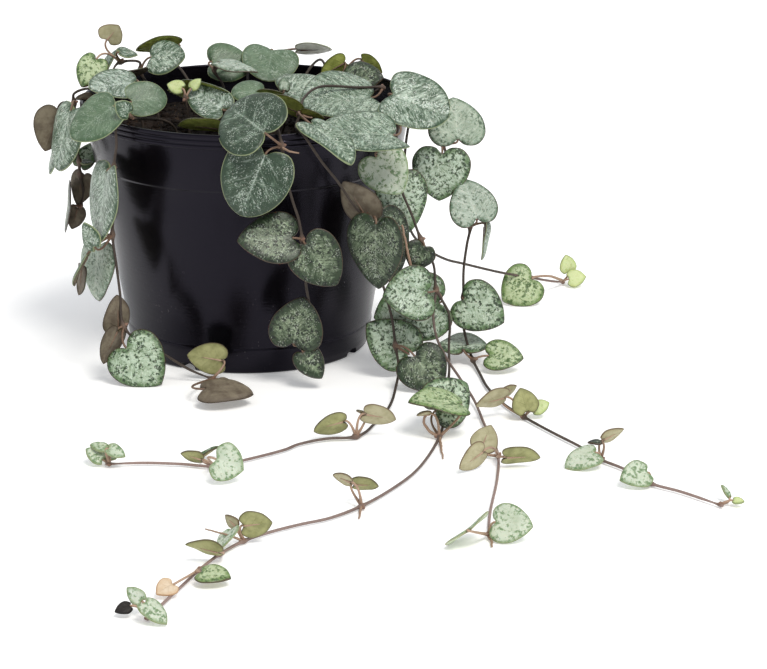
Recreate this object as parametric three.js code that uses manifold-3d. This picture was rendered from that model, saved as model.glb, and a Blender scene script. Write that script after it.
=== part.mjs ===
// Potted string of hearts: a nursery pot of soil, with thin trailing stems of small heart-shaped leaves.
// Millimetres, +Z up. The origin is the centre of the pot's underside, and -Y is the side towards the viewer.
import * as THREE from 'three';
import { mergeVertices } from 'three/addons/utils/BufferGeometryUtils.js';
import Module from 'manifold-3d';

const wasm = await Module();
wasm.setup();

// Pot
const potHeight = 81.7;
const rimRadius = 54;
const rimBandHeight = 4.8;
const rimTopInnerRadius = 52.8;
const wallTopRadius = 52.4;
const baseRadius = 38.9;
const wallThickness = 1.3;
const floorThickness = 1.8;
const baseRounding = 1.2;
const rimEdge = 0.6;
const rimChamfer = 0.4;
const bandSlope = 0.3;
const upperStepHeight = 62;
const lowerStepHeight = 8;
const stepDepth = 0.35;
const stepRun = 1;
const potSides = 40;
const notchCount = 4;
const firstNotchAngle = -29;
const notchWidth = 6;
const notchHeight = 2.6;
const notchDepth = 6;

// Soil
const soilHeight = 70.5;
const soilGap = 0.35;
const soilRoughness = 0.8;
const soilSides = 24;
const soilRings = 3;

// Stems
const stemRadius = 0.7;
const stemSides = 4;
const stemStep = 7;
const stemTip = 1.2;
const rootBottom = 60;
const rootTop = 74;
const rootHoleRadius = 1.6;
const rootHoleSides = 8;
const rootHoleFloor = 0.4;

// Leaves
const bladeThickness = 0.9;
const bladeFold = 0.1;
const petioleThickness = 0.8;
const petioleStep = 5;
const petioleArrival = 0.4;
const petioleStart = 0.3;
const shortestEdge = 0.05;

// One side of the heart, from the notch to the tip. Each point is a distance along the midrib from the notch
// and a distance out from it, both in blade lengths, so the lobes reach back past the notch.
const heartSide = [[-0.12, 0.13], [-0.11, 0.34], [0.1, 0.49], [0.42, 0.47], [0.76, 0.23]];
const smallHeartSide = [[-0.12, 0.26], [0.18, 0.51], [0.66, 0.34]];
const smallLeafLength = 9;
const midribPoint = 0.36;

const up = new THREE.Vector3(0, 0, 1);

// A closed geometry as a solid for joining and cutting.
function solidOf(geometry) {
  const plain = geometry.clone();
  plain.deleteAttribute('normal');
  plain.deleteAttribute('uv');
  const merged = mergeVertices(plain);
  return new wasm.Manifold(new wasm.Mesh({
    numProp: 3,
    vertProperties: new Float32Array(merged.attributes.position.array),
    triVerts: new Uint32Array(merged.index.array),
  }));
}

// A solid back as a geometry with its own flat faces.
function geometryOf(solid) {
  const mesh = solid.getMesh();
  const geometry = new THREE.BufferGeometry();
  geometry.setAttribute('position', new THREE.BufferAttribute(new Float32Array(mesh.vertProperties), 3));
  geometry.setIndex(new THREE.BufferAttribute(new Uint32Array(mesh.triVerts), 1));
  geometry.computeVertexNormals();
  return geometry;
}

function namedMesh(name, geometry, color, roughness) {
  const mesh = new THREE.Mesh(geometry, new THREE.MeshStandardMaterial({ color, roughness, metalness: 0 }));
  mesh.name = name;
  return mesh;
}

// Seeded random numbers from 0 to 1.
function randomFrom(seed) {
  let state = seed;
  return () => {
    state = (state + 0x6d2b79f5) >>> 0;
    let mixed = Math.imul(state ^ (state >>> 15), state | 1);
    mixed ^= mixed + Math.imul(mixed ^ (mixed >>> 7), mixed | 61);
    return ((mixed ^ (mixed >>> 14)) >>> 0) / 4294967296;
  };
}

// A solid rod of few sides along a curve.
function rod(curve, radius, sides, steps) {
  const section = new THREE.Shape();
  for (let i = 0; i < sides; i += 1) {
    const angle = (i / sides) * 2 * Math.PI;
    const point = [radius * Math.cos(angle), radius * Math.sin(angle)];
    if (i === 0) section.moveTo(...point);
    else section.lineTo(...point);
  }
  section.closePath();
  return solidOf(new THREE.ExtrudeGeometry(section, { steps, bevelEnabled: false, extrudePath: curve }));
}

// The pot's wall radius on the outside at a height, which tapers from the base to below the rim band.
function wallRadius(height) {
  const taper = (wallTopRadius - baseRadius) / (potHeight - rimBandHeight);
  return baseRadius + taper * height;
}

function potSolid() {
  const bandBottom = potHeight - rimBandHeight;
  const outline = [
    [0, 0],
    [baseRadius - baseRounding, 0],
    [wallRadius(baseRounding), baseRounding],
    [wallRadius(lowerStepHeight), lowerStepHeight],
    [wallRadius(lowerStepHeight + stepRun) - stepDepth, lowerStepHeight + stepRun],
    [wallRadius(upperStepHeight) - stepDepth, upperStepHeight],
    [wallRadius(upperStepHeight + stepRun), upperStepHeight + stepRun],
    [wallTopRadius, bandBottom],
    [rimRadius, bandBottom + bandSlope],
    [rimRadius, potHeight - rimEdge],
    [rimRadius - rimChamfer, potHeight],
    [rimTopInnerRadius, potHeight],
    [wallTopRadius - wallThickness, bandBottom],
    [wallRadius(floorThickness) - wallThickness, floorThickness],
    [0, floorThickness],
  ];
  const points = outline.map(([radius, height]) => new THREE.Vector2(radius, height));
  const turned = new THREE.LatheGeometry(points, potSides).rotateX(Math.PI / 2);
  let pot = solidOf(turned);
  for (let i = 0; i < notchCount; i += 1) {
    const notch = new THREE.BoxGeometry(2 * notchDepth, notchWidth, 2 * notchHeight);
    notch.translate(baseRadius, 0, 0);
    notch.rotateZ(THREE.MathUtils.degToRad(firstNotchAngle + (i * 360) / notchCount));
    pot = pot.subtract(solidOf(notch));
  }
  return pot;
}

// The height of the soil's uneven top.
function soilTop(x, y) {
  const wide = Math.sin(0.23 * x + 0.4) * Math.cos(0.19 * y - 0.8);
  const fine = Math.sin(0.61 * x - 0.5 * y) * Math.cos(0.47 * y + 0.3 * x);
  return soilHeight + soilRoughness * (0.6 * wide + 0.4 * fine);
}

// The soil fills the pot's inside, with a plain hole for each stem's root end.
function soilSolid(roots) {
  const sideRadius = (height) => wallRadius(height) - wallThickness - stepDepth - soilGap;
  const bottom = floorThickness + soilGap;
  const outline = [[0, bottom], [sideRadius(bottom), bottom], [sideRadius(soilHeight), soilHeight]];
  for (let ring = soilRings - 1; ring >= 0; ring -= 1) {
    outline.push([(sideRadius(soilHeight) * ring) / soilRings, soilHeight]);
  }
  const points = outline.map(([radius, height]) => new THREE.Vector2(radius, height));
  const turned = new THREE.LatheGeometry(points, soilSides).rotateX(Math.PI / 2);
  const place = turned.attributes.position;
  for (let i = 0; i < place.count; i += 1) {
    if (place.getZ(i) > soilHeight - 1) place.setZ(i, soilTop(place.getX(i), place.getY(i)));
  }
  let soil = solidOf(turned);
  const depth = 2 * (soilHeight - rootBottom + rootHoleFloor);
  for (const root of roots) {
    const hole = new THREE.CylinderGeometry(rootHoleRadius, rootHoleRadius, depth, rootHoleSides);
    hole.rotateX(Math.PI / 2);
    hole.translate(root.x, root.y, soilHeight);
    soil = soil.subtract(solidOf(hole));
  }
  return soil;
}

// A vine is one or more stems, and a stem is a list of stops: bare bends, and knots that carry leaves.
const stem = (...stops) => stops;
const bend = (x, y, z) => ({ at: new THREE.Vector3(x, y, z), leaves: [] });
const knot = (x, y, z, ...leaves) => ({ at: new THREE.Vector3(x, y, z), leaves });

// The straight end of a stem that stands in the soil.
const root = (x, y) => [bend(x, y, rootBottom), bend(x, y, (rootBottom + rootTop) / 2), bend(x, y, rootTop)];

// A leaf is given by its notch, its tip, the way its upper face looks, and its width as a share of the usual.
const leaf = (notch, tip, face, width = 1) => ({
  notch: new THREE.Vector3(...notch),
  tip: new THREE.Vector3(...tip),
  face: new THREE.Vector3(...face),
  width,
});

// Over the rim at the front left, down the wall, then right along the floor.
const frontLeft = [
  stem(
    ...root(-22, -16),
    bend(-25, -22, 79),
    knot(-35, -35, 83,
      leaf([-40, -37, 87], [-53, -42, 78], [-3, -6, 8]),
      leaf([-35, -30, 87], [-24, -26, 88], [0, -8, 6]),
      leaf([-35, -42, 86], [-39, -44, 90], [-2, -8, 6]),
    ),
    bend(-37, -38, 85),
    bend(-39, -42, 82),
    bend(-39, -43, 76),
    knot(-40, -43, 69,
      leaf([-42, -44, 68], [-45, -47, 46], [-9, -4, 1], 0.95),
      leaf([-43, -36, 65], [-47, -35, 45], [-9, -4, 1]),
    ),
    bend(-40, -42, 58),
    knot(-41, -42, 47,
      leaf([-46, -34, 41], [-48, -35, 23], [-8, -6, 1], 1.05),
      leaf([-46, -49, 45], [-50, -46, 52], [-8, -5, 3]),
      leaf([-49, -45, 41], [-54, -43, 31], [-9, 1, 3], 0.9),
      leaf([-51, -38, 35], [-52, -38, 26], [8, 4, 1], 0.8),
    ),
    bend(-40, -42, 37),
    bend(-39, -43, 28),
    knot(-38, -45, 18,
      leaf([-40, -44, 17], [-40, -44, 28], [-7, 7, 0]),
      leaf([-40, -47, 17], [-45, -49, 7], [-5, 7, 6], 0.9),
      leaf([-37, -49, 12], [-26, -53, 1], [0, -10, 2], 1.15),
    ),
    bend(-33, -46, 13),
    bend(-25, -47, 9),
    bend(-17, -47, 4),
    knot(-10, -47, 1,
      leaf([-7, -46, 7], [-18, -46, 9], [0, 10, 2]),
      leaf([-11, -70, 5], [4, -71, 5], [0, -2, 10]),
      leaf([-7, -62, 4], [1, -63, 4], [0, 2, 10], 0.9),
      leaf([-5, -54, 2], [-11, -54, 1], [0, -3, 10], 0.9),
    ),
  ),
];

// Over the rim at the front and down the middle of the wall.
const frontCentre = [
  stem(
    ...root(12, -20),
    bend(13, -30, 80),
    bend(11, -44, 84),
    bend(12, -54, 83),
    knot(13, -56, 79,
      leaf([8, -60, 84], [-4, -44, 89], [-2, -8, 6], 1.05),
      leaf([8, -59, 77], [0, -61, 58], [-1, -10, 2]),
    ),
    bend(14, -56, 70),
    bend(16, -56, 62),
    bend(18, -55, 55),
    knot(19, -55, 49,
      leaf([16, -57, 50], [-1, -60, 50], [-2, -8, 5], 0.95),
      leaf([20, -57, 48], [30, -58, 35], [1, -10, 2]),
    ),
    bend(20, -54, 41),
    bend(20, -53, 34),
    bend(21, -52, 25),
    knot(19, -51, 14,
      leaf([16, -54, 15], [19, -54, 30], [0, -9, 4], 1.1),
      leaf([19, -54, 12], [25, -56, 4], [3, -9, 0], 0.9),
    ),
  ),
];

// From the right of the soil, over the front rim, down the right of the wall, then left on the floor.
const leftRunner = [
  stem(
    ...root(40, 6),
    bend(41, 5, 82),
    knot(44, 4, 84,
      leaf([40, -2, 82], [18, -10, 83], [0, -4, 9], 1.15),
    ),
    bend(36, 0, 85),
    bend(24, -8, 87),
    bend(19, -20, 86),
    knot(18, -32, 84,
      leaf([18, -31, 84], [7, -27, 88], [2, 6, 7]),
      leaf([19, -33, 84], [26, -35, 83], [0, 6, 8], 0.9),
      leaf([22, -53, 85], [35, -66, 77], [5, -5, 7], 0.66),
    ),
    bend(17, -42, 82),
    bend(18, -51, 83),
    bend(20, -56, 82),
    bend(25, -55, 74),
    bend(30, -53, 67),
    bend(35, -48, 58),
    knot(39, -45, 52,
      leaf([39, -46, 54], [32, -47, 66], [4, 8, 3]),
      leaf([42, -55, 54], [42, -56, 33], [-6, -8, 1]),
      leaf([42, -41, 51], [48, -37, 30], [5, -8, 3], 0.9),
    ),
    bend(40, -48, 45),
    bend(42, -48, 38),
    bend(44, -47, 32),
    bend(47, -43, 19),
    knot(48, -44, 11,
      leaf([52, -42, 8], [39, -43, 18], [-1, -10, 3]),
      leaf([54, -55, 11], [62, -59, 1], [1, -10, 3], 1.2),
    ),
    bend(49, -50, 6),
    bend(48, -62, 3),
    bend(46, -78, 2),
    bend(42, -90, 1),
    knot(36, -104, 1,
      leaf([32, -104, 6], [23, -106, 4], [0, 8, 5]),
      leaf([39, -103, 8], [48, -102, 6], [0, 8, 5]),
      leaf([38, -99, 7], [36, -100, 8], [0, 3, 9], 0.8),
    ),
    bend(27, -106, 1),
    bend(19, -111, 1),
    bend(15, -116, 1),
    bend(4, -125, 1),
    knot(-5, -131, 1,
      leaf([-4, -142, 7], [4, -143, 4], [4, -8, 3], 1.35),
      leaf([-9, -130, 3], [-15, -130, 5], [0, 8, 6], 0.9),
      leaf([-9, -124, 2], [-4, -121, 4], [2, 4, 9], 0.7),
    ),
    bend(-15, -129, 1),
    bend(-26, -128, 1),
    knot(-36, -129, 1,
      leaf([-38, -128, 2], [-43, -126, 5], [0, -5, 9], 0.9),
      leaf([-37, -126, 2], [-34, -127, 2], [0, -4, 9], 0.9),
      leaf([-36, -130, 6], [-31, -131, 4], [0, -5, 9], 0.9),
      leaf([-37, -127, 5], [-42, -125, 6], [0, -3, 9], 0.8),
    ),
  ),
];

// The longest vine: down the right side, then left and forward on the floor, with a branch.
const frontRunner = [
  stem(
    ...root(43, -10),
    bend(45, -14, 80),
    knot(47, -18, 85,
      leaf([47, -24, 88], [65, -28, 82], [0, -6, 8], 1.1),
    ),
    bend(46, -22, 85),
    bend(48, -27, 85),
    knot(49, -31, 81,
      leaf([47, -42, 79], [25, -53, 82], [0, -4, 9], 0.85),
    ),
    bend(48, -31, 74),
    knot(48, -31, 69,
      leaf([42, -37, 71], [50, -41, 60], [-1, -10, 3], 1.1),
      leaf([49, -30, 62], [52, -33, 45], [2, -9, 4], 0.95),
    ),
    bend(50, -33, 59),
    bend(53, -35, 52),
    knot(56, -36, 44,
      leaf([57, -37, 42], [53, -39, 35], [2, -9, 3], 1.2),
    ),
    bend(60, -37, 36),
    knot(61, -38, 28,
      leaf([58, -45, 29], [44, -49, 29], [-1, -9, 4], 1.2),
      leaf([62, -36, 23], [41, -36, 18], [0, -10, 3]),
    ),
    bend(65, -39, 20),
    bend(65, -41, 10),
    bend(65, -48, 4),
    bend(64, -60, 2),
    bend(63, -80, 1),
    knot(61, -104, 1,
      leaf([60, -94, 6], [70, -88, 13], [2, -9, 4], 1.15),
      leaf([67, -98, 9], [52, -103, 13], [0, -2, 10]),
      leaf([58, -103, 8], [54, -104, 8], [0, 6, 8]),
    ),
    bend(54, -134, 1),
    bend(47, -150, 1),
    knot(38, -165, 1,
      leaf([35, -164, 8], [30, -163, 10], [0, 8, 6], 0.9),
      leaf([36, -160, 6], [43, -161, 6], [0, 8, 6]),
    ),
    bend(29, -175, 1),
    bend(21, -180, 1),
    bend(13, -186, 1),
    knot(6, -193, 1,
      leaf([6, -194, 6], [14, -194, 7], [-1, 10, 3], 1.15),
      leaf([4, -192, 5], [1, -191, 8], [0, 8, 6]),
      leaf([3, -195, 5], [0, -202, 2], [-5, 0, 8], 0.9),
    ),
    knot(0, -203, 1,
      leaf([0, -209, 4], [-9, -208, 6], [0, 7, 7], 0.9),
    ),
    knot(-5, -215, 1,
      leaf([-4, -222, 3], [4, -225, 3], [0, -2, 10], 1.1),
      leaf([-11, -231, 3], [-15, -235, 2], [2, -5, 8]),
    ),
    bend(-9, -227, 1),
    bend(-13, -239, 1),
    knot(-16, -249, 1,
      leaf([-18, -245, 4], [-22, -243, 7], [-4, -6, 6], 0.8),
      leaf([-17, -249, 5], [-11, -253, 1], [5, -6, 6], 0.8),
      leaf([-21, -246, 3], [-25, -247, 2], [0, -6, 8], 0.9),
    ),
  ),
  stem(
    bend(61, -38, 28),
    bend(60, -40, 20),
    bend(61, -44, 14),
    bend(64, -50, 9),
    bend(68, -58, 5),
    bend(72, -70, 2),
    bend(75, -94, 1),
    bend(77, -108, 1),
    knot(78, -122, 1,
      leaf([73, -121, 3], [76, -117, 9], [3, 10, 0], 1.05),
      leaf([73, -132, 6], [66, -136, 2], [-2, 9, 4]),
      leaf([80, -131, 4], [90, -130, 4], [0, 8, 6], 0.9),
    ),
    bend(77, -142, 1),
    bend(74, -171, 1),
    knot(73, -188, 1,
      leaf([75, -189, 5], [85, -192, 5], [1, -8, 6], 1.1),
      leaf([67, -198, 6], [68, -186, 2], [-6, 0, 8], 1.15),
    ),
  ),
];

// Over the rim at the right, down to the floor, then off to the right.
const rightRunner = [
  stem(
    ...root(45, 6),
    bend(48, 2, 80),
    knot(50, -3, 86,
      leaf([54, -1, 89], [62, -6, 83], [6, 0, 8], 0.8),
    ),
    bend(54, -8, 85),
    bend(57, -11, 78),
    knot(63, -14, 70,
      leaf([63, -16, 67], [62, -19, 52], [0, -10, 3], 1.2),
      leaf([68, -14, 71], [67, -8, 84], [2, -8, 5], 1.3),
    ),
    bend(66, -17, 60),
    bend(70, -19, 50),
    knot(72, -20, 44,
      leaf([74, -23, 47], [70, -17, 59], [1, -8, 5], 1.1),
      leaf([77, -20, 44], [76, -22, 33], [10, -2, 0], 0.8),
    ),
    bend(71, -21, 38),
    bend(70, -22, 30),
    knot(70, -23, 21,
      leaf([70, -25, 21], [83, -28, 14], [1, -10, 3], 1.1),
    ),
    bend(70, -25, 12),
    bend(72, -27, 4),
    knot(73, -30, 2,
      leaf([70, -29, 5], [70, -15, 7], [0, -2, 10], 1.1),
      leaf([78, -35, 5], [89, -37, 5], [1, -7, 7]),
    ),
    bend(75, -42, 1),
    bend(77, -56, 1),
    bend(82, -74, 1),
    knot(87, -85, 1,
      leaf([81, -84, 7], [72, -88, 6], [0, 8, 6]),
      leaf([81, -79, 6], [85, -78, 9], [0, 8, 6], 0.9),
      leaf([88, -86, 3], [86, -84, 10], [1, -9, 4], 1.1),
      leaf([90, -84, 3], [95, -83, 5], [1, -8, 6], 0.9),
    ),
    bend(95, -100, 1),
    bend(103, -114, 1),
    knot(108, -125, 1,
      leaf([106, -128, 4], [97, -131, 1], [-1, -4, 9]),
      leaf([109, -121, 6], [115, -120, 9], [0, 8, 6], 0.8),
      leaf([108, -124, 6], [104, -124, 6], [0, -1, 10], 0.8),
    ),
    bend(114, -133, 1),
    knot(121, -146, 1,
      leaf([120, -145, 4], [112, -148, 3], [-1, -7, 7], 1.05),
    ),
    bend(129, -153, 1),
    knot(139, -164, 1,
      leaf([142, -160, 2], [140, -158, 5], [7, -5, 4], 0.6),
      leaf([143, -163, 2], [146, -164, 2], [0, -6, 8], 0.8),
    ),
  ),
];

// Leaves the right side high up and reaches back to the floor behind on the right.
const farRunner = [
  stem(
    ...root(46, -4),
    bend(49, -9, 82),
    bend(52, -14, 85),
    bend(54, -19, 84),
    bend(52, -24, 77),
    bend(51, -23, 67),
    bend(52, -18, 54),
    bend(53, -10, 40),
    bend(59, 2, 30),
    bend(65, 12, 24),
    bend(71, 21, 20),
    bend(84, 35, 13),
    knot(95, 46, 8,
      leaf([95, 41, 9], [85, 38, 2], [-1, -10, 3], 1.2),
    ),
    bend(102, 56, 4),
    knot(107, 65, 1,
      leaf([109, 65, 5], [108, 65, 11], [2, -9, 3]),
      leaf([109, 62, 3], [115, 62, 4], [1, -8, 6], 1.1),
    ),
  ),
];

// Hangs over the rim at the left and ends halfway down the wall.
const leftHanging = [
  stem(
    ...root(-34, -2),
    bend(-38, -4, 80),
    knot(-47, -6, 85,
      leaf([-49, -9, 84], [-55, -8, 83], [0, 5, 8]),
    ),
    bend(-52, -2, 85),
    bend(-56, -1, 83),
    knot(-56, 0, 80,
      leaf([-61, -2, 77], [-66, -4, 65], [-5, 8, 1], 1.1),
      leaf([-58, 1, 79], [-62, 1, 77], [-2, 8, 5]),
      leaf([-56, -12, 80], [-61, -15, 61], [-8, -5, 1], 0.95),
      leaf([-60, 8, 73], [-66, 9, 54], [-10, -1, 0], 0.8),
    ),
    bend(-56, 0, 76),
    bend(-56, 0, 68),
    knot(-55, 1, 60,
      leaf([-55, 6, 58], [-50, 10, 65], [-3, -8, 5], 0.8),
      leaf([-54, 0, 60], [-50, 0, 60], [0, -3, 9], 0.8),
    ),
    knot(-55, 1, 56,
      leaf([-54, 3, 55], [-56, 3, 45], [5, 8, 0], 0.9),
    ),
    bend(-54, 2, 50),
    knot(-55, 2, 45,
      leaf([-56, 3, 44], [-58, 2, 37], [3, 9, 2], 0.9),
      leaf([-59, 2, 45], [-57, -13, 48], [-10, 0, 1], 1.1),
    ),
  ),
];

// A leafy shoot that lies on the rim at the back left.
const shootBackLeft = [
  stem(
    ...root(-30, 14),
    bend(-32, 18, 80),
    knot(-36, 20, 86,
      leaf([-32, 19, 91], [-21, 17, 92], [1, -6, 8], 1.25),
      leaf([-25, 30, 93], [-38, 26, 93], [0, 6, 8]),
      leaf([-37, 15, 86], [-44, 5, 88], [0, 6, 8]),
    ),
    bend(-36, 20, 89),
    knot(-42, 16, 90,
      leaf([-42, 12, 94], [-36, 14, 93], [0, -3, 10], 1.1),
      leaf([-46, 13, 98], [-42, 13, 103], [1, 8, 5], 1.35),
      leaf([-49, 6, 93], [-54, 2, 85], [-3, -9, 3]),
      leaf([-45, 19, 92], [-48, 13, 86], [-8, -4, 4], 0.8),
    ),
    knot(-44, 6, 89,
      leaf([-36, -3, 87], [-50, -11, 87], [0, -4, 9]),
    ),
  ),
];

// A shoot on the back of the soil.
const shootBack = [
  stem(
    ...root(-8, 22),
    bend(-9, 26, 80),
    knot(-12, 28, 85,
      leaf([-13, 35, 86], [0, 37, 85], [-1, -7, 7], 1.1),
      leaf([-10, 24, 88], [3, 20, 86], [0, -1, 10], 0.7),
    ),
    bend(-4, 34, 85),
    knot(3, 40, 87,
      leaf([7, 39, 89], [5, 28, 81], [1, -6, 8], 1.3),
      leaf([16, 42, 89], [27, 42, 89], [0, 5, 8]),
    ),
  ),
];

// A short shoot in the middle of the soil.
const shootMiddle = [
  stem(
    ...root(8, 4),
    bend(9, 4, 80),
    knot(10, 2, 82,
      leaf([5, 4, 83], [-5, 0, 83], [0, -5, 8]),
      leaf([12, 6, 83], [29, 10, 83], [0, -4, 9]),
      leaf([12, 0, 84], [12, 3, 88], [2, -9, 3], 0.8),
      leaf([11, -2, 83], [3, 0, 84], [0, 4, 9], 0.9),
    ),
  ),
];

// A short shoot at the right of the soil.
const shootRight = [
  stem(
    ...root(26, 22),
    bend(27, 26, 80),
    knot(31, 32, 83,
      leaf([31, 34, 86], [23, 32, 82], [2, 8, 5]),
      leaf([37, 34, 87], [44, 32, 83], [1, 8, 5], 0.9),
      leaf([32, 26, 82], [44, 22, 84], [0, -7, 7], 1.05),
    ),
  ),
];

// A short shoot on the front of the soil.
const shootFront = [
  stem(
    ...root(-8, -10),
    bend(-8, -12, 80),
    knot(-5, -14, 82,
      leaf([-5, -8, 82], [-25, 0, 86], [1, 6, 8]),
      leaf([-7, -19, 82], [-18, -11, 87], [-2, -6, 8], 0.8),
    ),
  ),
];

// A young shoot at the front left of the soil.
const shootFrontLeft = [
  stem(
    ...root(-18, -14),
    bend(-18, -15, 78),
    knot(-19, -16, 85,
      leaf([-20, -15, 88], [-25, -13, 89], [-2, -8, 6], 0.9),
      leaf([-17, -15, 88], [-14, -14, 91], [2, -8, 6], 0.8),
    ),
  ),
];

// A short shoot behind the front rim.
const shootFrontEdge = [
  stem(
    ...root(-6, -32),
    bend(-6, -34, 79),
    knot(-6, -40, 81,
      leaf([-7, -40, 81], [-20, -38, 82], [0, 5, 8]),
    ),
  ),
];

// Hidden vines hang down the back of the pot by a rule. Each leaves the soil behind the middle, crosses the
// back rim at its angle, and hangs to its lowest height with a pair of leaves at every knot.
const hiddenVines = [
  { name: 'vine_hidden_back_left', angle: 122, lowest: 30, seed: 11 },
  { name: 'vine_hidden_back', angle: 92, lowest: 12, seed: 23 },
  { name: 'vine_hidden_back_right', angle: 64, lowest: 40, seed: 37 },
];
const hiddenRootRadius = 33.5;
const crossingHeight = 84;
const crossingInset = 9;
const hangingClearance = 3.4;
const firstHangingDrop = 4;
const hiddenKnotSpacing = 15;
const spacingSpread = 0.3;
const knotWander = 3;
const shortestHiddenLeaf = 9;
const longestHiddenLeaf = 16;
const hiddenLeafDrop = 0.75;
const hiddenLeafWidth = 0.85;

// The two leaves of a hidden knot. One sits further out than the other, so they never cross.
function hiddenPair(at, outward, sideways, random) {
  return [-1, 1].map((side) => {
    const length = shortestHiddenLeaf + (longestHiddenLeaf - shortestHiddenLeaf) * random();
    const notch = at.clone().addScaledVector(sideways, side * (2 + 0.3 * length))
      .addScaledVector(outward, 2.5 + 1.5 * side + random());
    const tip = notch.clone().addScaledVector(sideways, side * length * (0.35 + 0.15 * random()))
      .addScaledVector(outward, 0.1 * length)
      .addScaledVector(up, -hiddenLeafDrop * length);
    const face = outward.clone().multiplyScalar(8).addScaledVector(up, 3 + 2 * random());
    return { notch, tip, face, width: hiddenLeafWidth + 0.15 * random() };
  });
}

function hiddenVine({ angle, lowest, seed }) {
  const random = randomFrom(seed);
  const turn = THREE.MathUtils.degToRad(angle);
  const outward = new THREE.Vector3(Math.cos(turn), Math.sin(turn), 0);
  const sideways = new THREE.Vector3(-outward.y, outward.x, 0);
  const place = (radius, aside, height) => outward.clone().multiplyScalar(radius)
    .addScaledVector(sideways, aside).setZ(height);
  const rootPlace = place(hiddenRootRadius, 0, rootBottom);
  const stops = [
    ...root(rootPlace.x, rootPlace.y),
    { at: place(rimRadius - crossingInset, 0, crossingHeight - 1), leaves: [] },
    { at: place(rimRadius - 1, 0, crossingHeight), leaves: [] },
    { at: place(rimRadius + hangingClearance, 0, potHeight - firstHangingDrop), leaves: [] },
  ];
  let height = potHeight - hiddenKnotSpacing;
  while (height > lowest) {
    const at = place(rimRadius + hangingClearance - 1, knotWander * (random() - 0.5), height);
    stops.push({ at, leaves: hiddenPair(at, outward, sideways, random) });
    height -= hiddenKnotSpacing * (1 + spacingSpread * (random() - 0.5));
  }
  return [stops];
}

// A leaf is one body of even thickness: a narrow petiole that starts in the stem's middle, turns to arrive
// along the midrib, and widens at the notch into the heart. The heart is folded a little along its midrib.
// Both faces are split into the same triangles, so they stay parallel.
function leafSolid(at, { notch, tip, face, width }) {
  const midrib = tip.clone().sub(notch);
  const length = midrib.length();
  midrib.normalize();
  const normal = face.clone().addScaledVector(midrib, -face.dot(midrib)).normalize();
  const side = normal.clone().cross(midrib);

  // The left edge, the tip and the right edge, each point with the half thickness that it rises and falls by.
  const left = [];
  const right = [];
  const behindNotch = notch.clone().addScaledVector(midrib, -petioleArrival * at.distanceTo(notch));
  const curve = new THREE.QuadraticBezierCurve3(at, behindNotch, notch);
  const sections = Math.max(1, Math.round(at.distanceTo(notch) / petioleStep));
  for (let i = 0; i < sections; i += 1) {
    const turn = new THREE.Quaternion().setFromUnitVectors(midrib, curve.getTangent(i / sections));
    const centre = curve.getPoint(i / sections);
    const lift = normal.clone().applyQuaternion(turn).multiplyScalar(petioleThickness / 2);
    const reach = side.clone().applyQuaternion(turn).multiplyScalar(petioleThickness / 2);
    left.push({ point: centre.clone().add(reach), lift });
    right.push({ point: centre.clone().sub(reach), lift });
  }
  const lift = normal.clone().multiplyScalar(bladeThickness / 2);
  const place = (along, out) => notch.clone().addScaledVector(midrib, along * length)
    .addScaledVector(side, out * length * width)
    .addScaledVector(normal, Math.abs(out) * length * bladeFold);
  const notchOut = petioleThickness / (2 * length * width);
  const heart = [[0, notchOut], ...(length < smallLeafLength ? smallHeartSide : heartSide)];
  for (const [along, out] of heart) {
    left.push({ point: place(along, out), lift });
    right.push({ point: place(along, -out), lift });
  }
  const ring = [...left, { point: place(1, 0), lift }, ...right.reverse()];
  const middle = { point: place(midribPoint, 0), lift };

  const points = [];
  for (const shift of [1, -1]) {
    for (const corner of [...ring, middle]) {
      points.push(corner.point.clone().addScaledVector(corner.lift, shift));
    }
  }
  const count = ring.length;
  const faces = [];
  const bothFaces = (a, b, c) => faces.push(a, b, c, c + count + 1, b + count + 1, a + count + 1);
  for (let i = 0; i < sections; i += 1) {
    bothFaces(i, count - 1 - i, count - 2 - i);
    bothFaces(i, count - 2 - i, i + 1);
  }
  for (let i = sections; i < count - 1 - sections; i += 1) bothFaces(count, i + 1, i);
  bothFaces(count, sections, count - 1 - sections);
  for (let i = 0; i < count; i += 1) {
    const next = (i + 1) % count;
    faces.push(i, next, next + count + 1, i, next + count + 1, i + count + 1);
  }
  const geometry = new THREE.BufferGeometry().setFromPoints(points);
  geometry.setIndex(faces);
  return solidOf(geometry);
}

// A stem's centre line passes all its stops and ends a little past the last one.
function stemCurve(stops) {
  const points = stops.map(({ at }) => at);
  const last = points[points.length - 1];
  const onward = last.clone().sub(points[points.length - 2]).normalize();
  points.push(last.clone().addScaledVector(onward, stemTip));
  return new THREE.CatmullRomCurve3(points, false, 'centripetal');
}

const stemSteps = (curve) => Math.ceil(curve.getLength() / stemStep);

// The point of a stem's centre line that lies nearest to a knot, moved a little towards the leaf's notch, so
// opposite petioles start apart inside the stem.
function petioleRoot(path, at, notch) {
  const nearest = new THREE.Vector3();
  const candidate = new THREE.Vector3();
  let best = Infinity;
  for (let i = 1; i < path.length; i += 1) {
    new THREE.Line3(path[i - 1], path[i]).closestPointToPoint(at, true, candidate);
    if (candidate.distanceTo(at) < best) {
      best = candidate.distanceTo(at);
      nearest.copy(candidate);
    }
  }
  return nearest.addScaledVector(notch.clone().sub(nearest).normalize(), petioleStart);
}

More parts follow.
